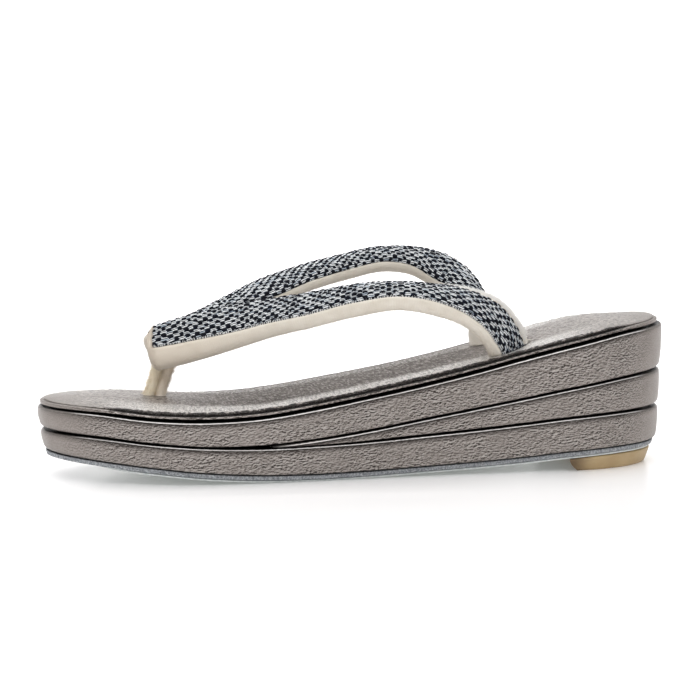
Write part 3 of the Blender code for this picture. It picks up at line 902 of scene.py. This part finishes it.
def face_line(arm, count, depth):
    """Points across the woven face, evenly spaced, with their distances from its middle line."""
    curve = face_surface(arm, np.linspace(0, 1, FACE_FINE), depth)
    steps = np.linalg.norm(np.diff(curve, axis=1), axis=-1)
    reached = np.concatenate((np.zeros((len(steps), 1)), np.cumsum(steps, axis=1)), axis=1)
    points, places = [], []
    for line, at in zip(curve, reached):
        wanted = np.linspace(0, at[-1], count)
        points.append(np.stack([np.interp(wanted, at, line[:, i]) for i in range(3)], axis=-1))
        places.append(wanted - at[-1] / 2)
    return np.stack(points), np.stack(places)


def weave(along, across, seed):
    """Relief of the weave, the tone of its yarns, the place across each yarn, and a number for each yarn."""
    across = across + 0.25 * noise(np.stack((along, across), axis=-1), 6.0, seed + 7)
    column = np.floor(along / CROSS_PITCH).astype(np.int64)
    row = np.floor(across / ROW_PITCH).astype(np.int64)
    best = ply = yarn = np.zeros(along.shape)
    tone = np.full(along.shape, 0.02)
    # Each cell holds one yarn: a long light one, or a dark one between four of them. A and b are the places
    # along and across it, from -0.5 to 0.5 inside the cell.
    for step in np.ndindex(3, 3):
        i, j = column + step[0] - 1, row + step[1] - 1
        cell = np.stack((i, j), axis=-1)
        draws = [chance(cell, seed + k) for k in range(6)]
        light = (i + j) % 2 == 0
        lean = np.where(light, 0.16 * (draws[5] - 0.5) * 2, 0.0)
        bow = np.where(light, 0.22 * np.sign(draws[1] - 0.5), 0.0)
        a = along / CROSS_PITCH - i - 0.5 + 0.24 * (draws[0] - 0.5)
        b = across / ROW_PITCH - j - 0.5 + 0.20 * (draws[1] - 0.5)
        b = b + lean * a - bow * (1 - a * a)
        reach_a = np.where(light, 0.95 + 0.30 * draws[2], 0.42 + 0.22 * draws[2])
        reach_b = np.where(light, 0.50, 0.46 + 0.20 * draws[3])
        gone = np.abs(a / reach_a) ** np.where(light, 1.9, 2.6) + np.abs(b / reach_b) ** 2.4
        swell = np.where(light, 0.70, 0.95) + 0.30 * draws[3]
        strand = 0.5 - np.abs((b * STRANDS) % 1.0 - 0.5)
        groove = np.where(light, STRAND_GROOVE * (1 - 2 * strand), 0.0) * (gone < 1)
        height = swell * np.sqrt(np.clip(1 - gone, 0.0, 1.0)) - groove
        over = height > best
        best = np.where(over, height, best)
        tone = np.where(over, np.where(light, 1.05 + 0.45 * draws[4], 0.20 * draws[4] ** 1.5), tone)
        ply = np.where(over, np.where(light, b, 0.6 * a + 0.3 * b), ply)
        yarn = np.where(over, draws[0], yarn)
    return best, tone, ply, yarn


def woven_face(name, rows, hand, seed):
    """The woven strip on top of one arm: rounded yarns over and under each other."""
    end = arm_line(rows, hand)[1][-1]
    wanted = np.arange(FACE_START, end, FACE_STEP)
    arm = arm_frame(rows, hand, wanted)
    surface, places = face_line(arm, FACE_POINTS, -FACE_PROUD)
    along = np.broadcast_to(wanted[:, None], places.shape)
    relief, tone, ply, yarn = weave(along, places, seed)
    normal = unit(np.cross(np.gradient(surface, axis=0), np.gradient(surface, axis=1)))
    normal *= np.sign((normal * (surface - arm.middle[:, None])).sum(axis=-1))[..., None]
    border = smooth_step((np.abs(places).max(axis=1)[:, None] - np.abs(places)) / BORDER_WIDTH)
    lift = WEAVE_RELIEF * (relief - MEAN_RELIEF) * (0.65 + 0.35 * border) - BORDER_DROP * (1 - border)
    under = face_surface(arm, np.linspace(1, 0, FACE_UNDER), FACE_BED - 0.15)
    rings = pressed(np.concatenate((surface + normal * lift[..., None], under), axis=1), hand)
    hidden = np.zeros((len(wanted), FACE_UNDER))
    marks = {"tone": tone, "ply": ply, "yarn": yarn, "relief": relief, "along": along}
    marks = {key: np.concatenate((values, hidden), axis=1) for key, values in marks.items()}
    from_outer = places - places.min(axis=1)[:, None]
    marks["edge"] = np.concatenate((from_outer, hidden + NO_EDGE), axis=1)
    return dress(skin(name, rings, marks), tweed(), "strap_face")


def fibres(name, roots, ways, lengths, width, finish, node):
    """Many thin three-sided spikes in one mesh: fibres that stand up from cloth."""
    side = unit(np.cross(ways, UP + 0.3))
    other = np.cross(ways, side)
    corners = []
    for turn in (0.0, 2 * math.pi / 3, 4 * math.pi / 3):
        corners.append(roots + width / 2 * (math.cos(turn) * side + math.sin(turn) * other))
    corners.append(roots + ways * lengths[:, None])
    points = np.stack(corners, axis=1).reshape(-1, 3)
    first = 4 * np.arange(len(roots))[:, None]
    faces = [first + np.array(face) for face in ((0, 1, 3), (1, 2, 3), (2, 0, 3), (2, 1, 0))]
    mesh = bpy.data.meshes.new(name)
    mesh.from_pydata((points * MM).tolist(), [], np.concatenate(faces).tolist())
    return dress(put_in_scene(name, mesh), finish, node)


def fibre_draws(count, seed):
    """Six random numbers for each fibre."""
    cells = np.arange(count)[:, None]
    return [chance(np.concatenate((cells, cells * 0 + k), axis=1), seed) for k in range(6)]


def stray(ways, draws, reach):
    """Fibres' directions, each turned aside by chance."""
    return unit(ways + reach * (np.stack(draws[2:5], axis=1) - 0.5))


def arm_nap(name, rows, hand, bands, finish, seed):
    """Pile that stands up along bands of an arm."""
    roots, ways, lengths = [], [], []
    for start, end, low, high, count, length in bands:
        draws = fibre_draws(count, seed)
        arm = arm_frame(rows, hand, np.sort(start + (end - start) * draws[0]))
        base = arm.outer if low < 90 else arm.inner
        degrees = base + low + (high - low) * draws[1] - (0 if low < 90 else 180)
        root = arm_surface(arm, degrees[:, None], FIBRE_ROOT)[:, 0]
        raised = arm_surface(arm, degrees[:, None], FIBRE_ROOT - 1)[:, 0]
        roots.append(pressed(root, hand))
        ways.append(stray(unit(raised - root), draws, 0.7))
        lengths.append(length * (0.5 + 0.7 * draws[5]))
        seed += 1
    parts = (np.concatenate(part) for part in (roots, ways, lengths))
    return fibres(name, *parts, FIBRE_WIDTH, finish, "upper")


def strand_points(shift, heights, turns):
    """Points of a strand of the toe post. Shift is -1 for the front strand and 1 for the rear one."""
    rows = np.array(POST_ROWS, float)
    values = through_points(rows[:, 1], rows, heights.ravel()).T.reshape(4, *heights.shape)
    station, height, length, width = values
    x = station - CENTRE + shift * length / 4.2 + 0.28 * length * np.cos(turns)
    y = width / 2 * np.sin(turns)
    rest = insole_top(x.ravel(), y.ravel()).reshape(x.shape) + 0.05
    return np.stack((x, y, np.maximum(height, rest)), axis=-1)


def toe_strand(name, shift, finish, seed):
    """One velvet strand of the toe post, and its pile."""
    turns = np.linspace(0, 2 * math.pi, POST_SIDES + 1)[:-1]
    heights, around = np.meshgrid(np.linspace(POST_FOOT, POST_TOP, POST_RINGS), turns, indexing="ij")
    dress(skin(name, strand_points(shift, heights, around)), finish, "toe_post")
    draws = fibre_draws(POST_FIBRES, seed)
    heights = POST_FOOT + POST_BARE + (POST_TOP - POST_FOOT - POST_BARE) * draws[0]
    turns = 2 * math.pi * draws[1]
    ways = stray(np.stack((np.cos(turns), np.sin(turns), -0.2 + 0 * turns), axis=-1), draws, 0.9)
    lengths = POST_NAP * (0.4 + 0.8 * draws[5])
    roots = strand_points(shift, heights, turns)
    fibres(name + "_nap", roots, ways, lengths, POST_FIBRE_WIDTH, finish, "toe_post")


# Materials


class Value:
    """A number, colour or place that a node gives. Sums of such numbers add the nodes that work them out."""

    def __init__(self, look, socket):
        self.look = look
        self.socket = socket

    def __add__(self, other):
        return self.look.math("ADD", self, other)

    def __sub__(self, other):
        return self.look.math("SUBTRACT", self, other)

    def __rsub__(self, other):
        return self.look.math("SUBTRACT", other, self)

    def __mul__(self, other):
        return self.look.math("MULTIPLY", self, other)

    __radd__ = __add__
    __rmul__ = __mul__

    def clamped(self):
        """The same sum, kept between 0 and 1."""
        self.socket.node.use_clamp = True
        return self


class Look:
    """A material under construction: short names for adding nodes and joining them."""

    def __init__(self, name):
        self.material = bpy.data.materials.new(name)
        self.material.use_nodes = True
        self.tree = self.material.node_tree

    def set(self, **values):
        """Sets inputs of the material's surface."""
        self.join(self.tree.nodes["Principled BSDF"], values)

    def join(self, node, values):
        for key, value in values.items():
            self.feed(node.inputs[key.replace("_", " ")], value)

    def feed(self, socket, value):
        if isinstance(value, Value):
            self.tree.links.new(value.socket, socket)
        else:
            socket.default_value = value

    def add(self, kind, output, settings=None, **values):
        """Adds a node with its settings and inputs, and gives one of its outputs."""
        node = self.tree.nodes.new("ShaderNode" + kind)
        for key, value in (settings or {}).items():
            setattr(node, key, value)
        self.join(node, values)
        return Value(self, node.outputs[output])

    def math(self, operation, *values, kind="Math"):
        """Adds a sum of numbers, or of places with the kind VectorMath."""
        result = self.add(kind, 0, {"operation": operation})
        for socket, value in zip(result.socket.node.inputs, values):
            self.feed(socket, value)
        return result

    def mark(self, name):
        return self.add("Attribute", "Fac", {"attribute_name": name})

    def marks(self, *names):
        return [self.mark(name) for name in names]

    def place(self, scale=(1.0, 1.0, 1.0)):
        """The object's own coordinates, in millimetres, stretched by a scale."""
        coordinates = self.add("TexCoord", "Object")
        return self.add("Mapping", "Vector", Vector=coordinates, Scale=[factor / MM for factor in scale])

    def along_x(self, place):
        return self.add("SeparateXYZ", "X", Vector=place)

    def noise(self, place, size, detail=2.0, roughness=0.5, output="Fac"):
        return self.add("TexNoise", output, Vector=place, Scale=1 / size, Detail=detail, Roughness=roughness)

    def moved(self, place, step):
        return self.math("ADD", place, step, kind="VectorMath")

    def warp(self, place, size, reach):
        """The place, shifted by smooth noise of a size, by up to half the reach."""
        centred = self.moved(self.noise(place, size, 1.0, output="Color"), (-0.5, -0.5, -0.5))
        return self.math("MULTIPLY_ADD", centred, (reach, reach, reach), place, kind="VectorMath")

    def spread(self, value, low, high):
        """0 below low and 1 above high, smooth in between."""
        smooth = {"interpolation_type": "SMOOTHSTEP"}
        return self.add("MapRange", "Result", smooth, Value=value, From_Min=low, From_Max=high)

    def near(self, value, middle, reach):
        """1 where the value is at the middle, falling to 0 at the reach on both sides."""
        away = self.math("ABSOLUTE", value - middle)
        return (1.0 - self.spread(away, reach * 0.35, reach)).clamped()

    def ramp(self, value, *stops):
        """Colours at places from 0 to 1, blended in between."""
        colour = self.add("ValToRGB", "Color", Fac=value)
        elements = colour.socket.node.color_ramp.elements
        while len(elements) < len(stops):
            elements.new(0.5)
        for element, (at, shade) in zip(elements, stops):
            element.position = at
            element.color = (*shade, 1.0)
        return colour

    def mix(self, share, first, second):
        """The first colour at share 0 and the second at share 1."""
        mixed = self.add("Mix", 2, {"data_type": "RGBA"})
        for index, value in ((0, share), (6, first), (7, second)):
            value = (*value, 1.0) if isinstance(value, tuple) else value
            self.feed(mixed.socket.node.inputs[index], value)
        return mixed

    def covered(self, base, *covers):
        """A colour with others over it in turn, each given as a share and a colour."""
        for share, colour in covers:
            base = self.mix(share, base, colour)
        return base

    def bump(self, height, distance, strength=1.0):
        """Bump whose height 0 to 1 stands for a distance in millimetres."""
        return self.add("Bump", "Normal", Height=height, Distance=distance * MM, Strength=strength)


PEWTER = ((0.3, (0.275, 0.243, 0.222)), (0.7, (0.315, 0.281, 0.259)))
PEBBLE_SIZE = 0.64
PEBBLE_SHADE = (-0.07, 0.0, 0.25)  # step from a pebble to its shaded side
GLINT_STRETCH = (1.0, 0.16, 1.0)  # the insole's grain specks and painted glints are long across the sole


@cache
def leather():
    """Thin pewter leather with a satin metallic finish: small pebbles with a highlight painted on their tops
    and shade under them, and painted highlights on the lips.
    """
    look = Look("pewter_leather")
    crinkle, shown, below, border = look.marks("crinkle", "shown", "below", "border")
    grain_and_glints, middle = look.marks("grain_and_glints", "middle")
    place = look.place((0.5, 1.0, 1.0))
    wandering = look.warp(place, 2.2, 0.9)
    pebbles = look.noise(wandering, PEBBLE_SIZE, 1.5)
    # how the pebbles rise upwards: a highlight is painted on their tops and shade under them
    slope = pebbles - look.noise(look.moved(wandering, PEBBLE_SHADE), PEBBLE_SIZE, 1.5)
    patches = 0.6 + 0.45 * look.spread(look.noise(place, 5.5), 0.3, 0.62)
    strength = (patches * (crinkle - 0.1)).clamped()
    fine = look.noise(look.place(), 0.5, 2.0, 0.65)
    glints = look.noise(look.place(GLINT_STRETCH), 0.8, 1.0, 0.6)
    broken = look.spread(look.noise(look.place((0.4, 1.0, 1.0)), 1.6, 1.0), 0.36, 0.52)
    painted_shade_under_lip = (1.0 - look.spread(below, LIP_FOLD, LIP_SHADE)).clamped() * crinkle
    # where the mark border is below 0: the fold of the gathers, painted dark as shade
    gathers = look.spread(-1.0 * border, 0.15, 0.7)
    colour = look.covered(
        look.ramp(look.noise(place, 7.0), *PEWTER),
        (0.22 * look.spread(fine, 0.4, 0.66), (0.19, 0.165, 0.15)),
        (0.8 * look.spread(slope, 0.02, 0.12) * strength, (0.56, 0.52, 0.49)),  # painted highlight on the pebbles' tops
        (look.spread(-1.0 * slope, 0.025, 0.10) * strength, (0.02, 0.015, 0.012)),  # painted shade under the pebbles
        # painted shade under a layer's lip
        (painted_shade_under_lip * (1.45 - 1.2 * pebbles).clamped(), (0.035, 0.028, 0.024)),
        # a dark fold painted as shade under a lip
        (0.9 * look.near(below, LIP_FOLD, 0.28) * broken * crinkle, (0.02, 0.015, 0.013)),
        # painted highlight on a layer's lip
        (0.95 * look.near(below, LIP_SHINE, 0.24) * look.spread(crinkle, 0.3, 0.7), (0.95, 0.92, 0.90)),
        # painted highlight in grains along the top's border
        (0.9 * look.spread(fine, 0.33, 0.67) * look.spread(border, 0.05, 0.9), (0.95, 0.93, 0.90)),
        # painted shade and dark reflection over the middle of the top
        (0.5 * middle, (0.085, 0.072, 0.064)),
        # dark specks of grain on the top
        (0.6 * (1.0 - look.spread(glints, 0.3, 0.56)) * grain_and_glints, (0.06, 0.05, 0.045)),
        # painted glints of highlight on the top
        (0.3 * look.spread(glints, 0.5, 0.74) * grain_and_glints, (0.80, 0.77, 0.74)),
        # painted shade in the gathers' fold
        (gathers * (0.8 + 0.2 * look.spread(fine, 0.35, 0.6)), (0.012, 0.009, 0.008)),
        ((1.0 - shown).clamped(), (0.010, 0.008, 0.007)),  # painted shade inside the grooves
    )
    height = 1.2 * pebbles + 0.3 * fine
    look.set(Base_Color=colour, Normal=look.bump(height, 0.5, 0.08 + 0.85 * strength))
    look.set(Roughness=0.2 * fine + (0.3 + 0.3 * middle), Metallic=0.5)
    return look.material


def speckled(name, size, contrast, stops, depth, roughness):
    """Sheet rubber with pale and dark specks of a size."""
    look = Look(name)
    speck = look.noise(look.place(), size, 3.0, contrast)
    look.set(Base_Color=look.ramp(speck, *stops), Normal=look.bump(speck, depth), Roughness=roughness)
    return look.material


def grey_rubber():
    """Blue-grey sheet rubber of the outsole."""
    stops = ((0.36, (0.13, 0.138, 0.15)), (0.5, (0.27, 0.286, 0.305)), (0.64, (0.50, 0.52, 0.54)))
    return speckled("grey_rubber", 0.7, 0.7, stops, 0.12, 0.62)


def pale_rubber():
    """Pale sheet rubber of the tread."""
    stops = ((0.35, (0.62, 0.66, 0.65)), (0.65, (0.80, 0.83, 0.82)))
    return speckled("pale_rubber", 1.4, 0.6, stops, 0.1, 0.5)


def tan_rubber():
    """Smooth tan rubber, with shade painted on it towards the hollow front."""
    look = Look("tan_rubber")
    place = look.place()
    speck = look.noise(place, 1.2, 4.0, 0.6)
    base = look.ramp(look.noise(place, 9.0), (0.3, (0.46, 0.33, 0.17)), (0.7, (0.56, 0.42, 0.23)))
    base = look.mix(0.35 * speck, base, (0.36, 0.24, 0.12))
    start = LIFT_START - CENTRE
    # painted shade: the colour darkens towards the lift's hollow front, over its first 10 mm
    lit = look.spread(look.along_x(place), start + 1.0, start + 11.0)
    look.set(Base_Color=look.mix(lit, (0.15, 0.095, 0.045), base), Normal=look.bump(speck, 0.08))
    look.set(Roughness=0.38 + 0.2 * speck)
    return look.material


def darker(colour, share):
    return tuple(share * part for part in colour)


@cache
def velvet(name, dark, light, sheen=0.5, nose=None):
    """Short dense pile with fine ribs across an arm. Nose is the colour of the shade painted at an arm's front
    end.
    """
    look = Look(name)
    place = look.place()
    nap = look.noise(place, 0.45, 3.0, 0.7)
    base = look.ramp(look.noise(place, 5.0), (0.3, dark), (0.7, light))
    if nose:
        # painted shade: darker towards the arms' front ends
        base = look.mix(look.spread(look.along_x(place), *NOSE_SHADE), nose, base)
    ribs = look.math("PINGPONG", look.mark("distance") * (1 / RIB_PITCH), 0.5)
    base = look.covered(base, (0.22 * ribs, darker(dark, 0.75)), (0.25 * nap, darker(dark, 0.72)))
    look.set(Base_Color=base, Normal=look.bump(nap, 0.18), Roughness=0.95)
    look.set(Sheen_Weight=sheen, Sheen_Roughness=0.45, Specular_IOR_Level=0.15)
    return look.material


def off_white_velvet():
    # its nose colour is painted shade at the arms' front ends
    return velvet("off_white_velvet", (0.80, 0.74, 0.645), (0.89, 0.84, 0.755), nose=(0.72, 0.64, 0.54))


def highlight_pile():
    """A whiter copy of the velvet for the pile's tips, a painted highlight where they catch the light."""
    return velvet("highlight_pile", (0.97, 0.95, 0.92), (1.0, 0.99, 0.97), 1.0)


def beige_velvet():
    return velvet("beige_velvet", (0.92, 0.80, 0.60), (1.0, 0.92, 0.75))


# The rear strand's velvet: a greyer, slightly darker copy of the beige one, painted shade
def shaded_velvet():
    return velvet("shaded_velvet", (0.88, 0.77, 0.63), (0.98, 0.90, 0.78))


# The darkest navy of the yarns, also painted as shade between strands and under crossing yarns
NAVY_AND_GAP_SHADE = (0.003, 0.004, 0.008)
YARN_TONES = (
    (0.0, NAVY_AND_GAP_SHADE),
    (0.28, (0.009, 0.014, 0.030)),
    (0.40, (0.085, 0.13, 0.20)),
    (0.58, (0.43, 0.51, 0.595)),
    (0.76, (0.95, 0.97, 0.98)),
)


@cache
def tweed():
    """Navy, blue-grey and white yarns, each of a few strands with a tone of their own."""
    look = Look("navy_tweed")
    place = look.place()
    tone, ply, yarn, relief, along, edge = look.marks("tone", "ply", "yarn", "relief", "along", "edge")
    hair = look.noise(place, 0.28, 2.0, 0.7)
    across = 10.0 + STRANDS * ply
    strand = look.math("FLOOR", across)
    inside = across - strand - 0.5
    round_strand = 1.0 - 4.0 * (inside * inside)
    number = look.math("MULTIPLY_ADD", yarn, 571.0, strand)
    own = look.add("TexWhiteNoise", "Value", {"noise_dimensions": "1D"}, W=number)
    base = look.ramp(tone * (0.38 + 0.95 * own) + 0.35 * (hair - 0.5), *YARN_TONES)
    # painted shade: near black between the strands and where a yarn lies low under others
    gaps = 0.05 + 0.95 * look.spread(round_strand, 0.55, 1.0)
    base = look.mix(gaps * look.spread(relief, 0.04, 0.45), NAVY_AND_GAP_SHADE, base)
    drifting = 2.2 * look.noise(place, 1.3) + along * (1 / TICK_PITCH)
    tick = look.spread(look.math("PINGPONG", drifting, 0.5), 0.16, 0.30) * look.spread(hair, 0.3, 0.5)
    ticks = look.mix(tick, (0.01, 0.012, 0.02), (0.85, 0.85, 0.84))
    ragged = edge + 0.8 - 1.6 * look.noise(place, 0.6, 1.0)
    look.set(Base_Color=look.mix(1.0 - look.spread(ragged, 0.35, 0.7), base, ticks))
    look.set(Normal=look.bump(0.7 * round_strand + hair, 0.16), Roughness=0.85)
    look.set(Sheen_Weight=0.04, Sheen_Roughness=0.5, Specular_IOR_Level=0.12)
    return look.material


# Stage

FLOOR_HALF = 8.0  # half of the floor's width in metres, and its ends, its bend and the height of its back
FLOOR_FRONT = -1.6
FLOOR_BACK = 1.6
FLOOR_BEND = 0.4
FLOOR_HIGH = 0.42


def floor():
    """A white sheet that lies on the floor and curves up behind the object."""
    profile = [(FLOOR_FRONT, 0.0), (0.0, 0.0), (FLOOR_BACK, 0.0)]
    for turn in quarter_turns(12)[1:]:
        profile.append((FLOOR_BACK + FLOOR_BEND * math.sin(turn), FLOOR_BEND * (1 - math.cos(turn))))
    profile.append((FLOOR_BACK + FLOOR_BEND, FLOOR_HIGH))
    verts = [(x, y, z) for y, z in profile for x in (-FLOOR_HALF, FLOOR_HALF)]
    faces = [(2 * i, 2 * i + 1, 2 * i + 3, 2 * i + 2) for i in range(len(profile) - 1)]
    mesh = bpy.data.meshes.new("floor")
    mesh.from_pydata(verts, [], faces)
    mesh.shade_smooth()
    look = Look("floor_white")
    look.set(Base_Color=(0.90, 0.885, 0.89, 1.0), Roughness=0.3, Specular_IOR_Level=0.3)
    look.set(Emission_Color=(0.97, 1.0, 0.96, 1.0), Emission_Strength=0.11)
    mesh.materials.append(look.material)
    put_in_scene("floor", mesh)


def soft_light(name, place, aim, size, power):
    light = bpy.data.lights.new(name, "AREA")
    light.shape = "RECTANGLE"
    light.size, light.size_y = size
    light.energy = power
    made = put_in_scene(name, light)
    made.location = place
    made.rotation_euler = (Vector(aim) - Vector(place)).to_track_quat("-Z", "Y").to_euler()


def studio():
    """A dome that is dimmer near the horizon, and soft boxes overhead, in front and behind."""
    world = bpy.data.worlds.new("studio")
    world.use_nodes = True
    nodes, links = world.node_tree.nodes, world.node_tree.links
    direction = nodes.new("ShaderNodeTexCoord")
    parts = nodes.new("ShaderNodeSeparateXYZ")
    ramp = nodes.new("ShaderNodeValToRGB")
    elements = ramp.color_ramp.elements
    for element, (at, shade) in zip((*elements, elements.new(0.5)), DOME_SHADES):
        element.position = at
        element.color = (shade, shade, shade, 1.0)
    links.new(direction.outputs["Generated"], parts.inputs[0])
    links.new(parts.outputs["Z"], ramp.inputs["Fac"])
    links.new(ramp.outputs["Color"], nodes["Background"].inputs["Color"])
    bpy.context.scene.world = world
    bpy.context.scene.view_settings.view_transform = "Standard"
    target = (0.0, 0.0, 0.03)
    soft_light("overhead", (0.0, 0.1, 1.3), target, (1.6, 0.8), 6.0)
    soft_light("front_key", (-0.25, -1.0, 1.1), target, (1.2, 0.5), 6.0)
    soft_light("back_wash", (0.0, 1.0, 1.2), (0.0, 2.0, 0.15), (2.4, 0.8), 45.0)


def camera():
    azimuth, elevation = math.radians(CAMERA_AZIMUTH), math.radians(CAMERA_ELEVATION)
    level = math.cos(elevation)
    back = Vector((math.sin(azimuth) * level, -math.cos(azimuth) * level, math.sin(elevation)))
    data = bpy.data.cameras.new("camera")
    data.lens = CAMERA_LENS
    data.sensor_width = CAMERA_SENSOR
    data.clip_start = 0.01
    turn = back.to_track_quat("Z", "Y").to_matrix() @ Matrix.Rotation(math.radians(CAMERA_ROLL), 3, "Z")
    made = put_in_scene("camera", data)
    made.matrix_world = Matrix.Translation(CAMERA_TARGET + back * CAMERA_DISTANCE) @ turn.to_4x4()
    bpy.context.scene.camera = made


def main():
    camera()
    floor()
    studio()
    thin_sheet("tread", "tread_sheet", TREAD_SIDE, tread_under, tread_top, pale_rubber(), tread_extra)
    outsole_top = seam_height("outsole")
    thin_sheet("outsole_rubber", "outsole", OUTSOLE_SIDE, outsole_under, outsole_top, grey_rubber())
    heel_lift()
    core("lower_core", LOWER_CORE_SIDE, seam_height("outsole"), seam_height("lower_core"), seed=1)
    wedge = (seam_height("lower_core"), seam_height("upper_core"))
    core("middle_core", MIDDLE_CORE_SIDE, *wedge, seed=2, start=WEDGE_START)
    core("upper_core", UPPER_CORE_SIDE, seam_height("upper_core"), seam_height("insole"), seed=3)
    insole()
    velvet_arm("near_arm", NEAR_ARM, -1)
    velvet_arm("far_arm", FAR_ARM, 1)
    woven_face("near_face", NEAR_ARM, -1, seed=60)
    woven_face("far_face", FAR_ARM, 1, seed=80)
    arm_nap("near_nap", NEAR_ARM, -1, NEAR_NAP, off_white_velvet(), seed=300)
    # the fringe's pile is a whiter copy of the velvet: painted highlight
    arm_nap("near_fringe", NEAR_ARM, -1, NEAR_FRINGE, highlight_pile(), seed=310)
    arm_nap("far_nap", FAR_ARM, 1, FAR_NAP, off_white_velvet(), seed=320)
    toe_strand("front_strand", -1, beige_velvet(), seed=90)
    # the rear strand wears the copy with painted shade
    toe_strand("rear_strand", 1, shaded_velvet(), seed=91)


main()
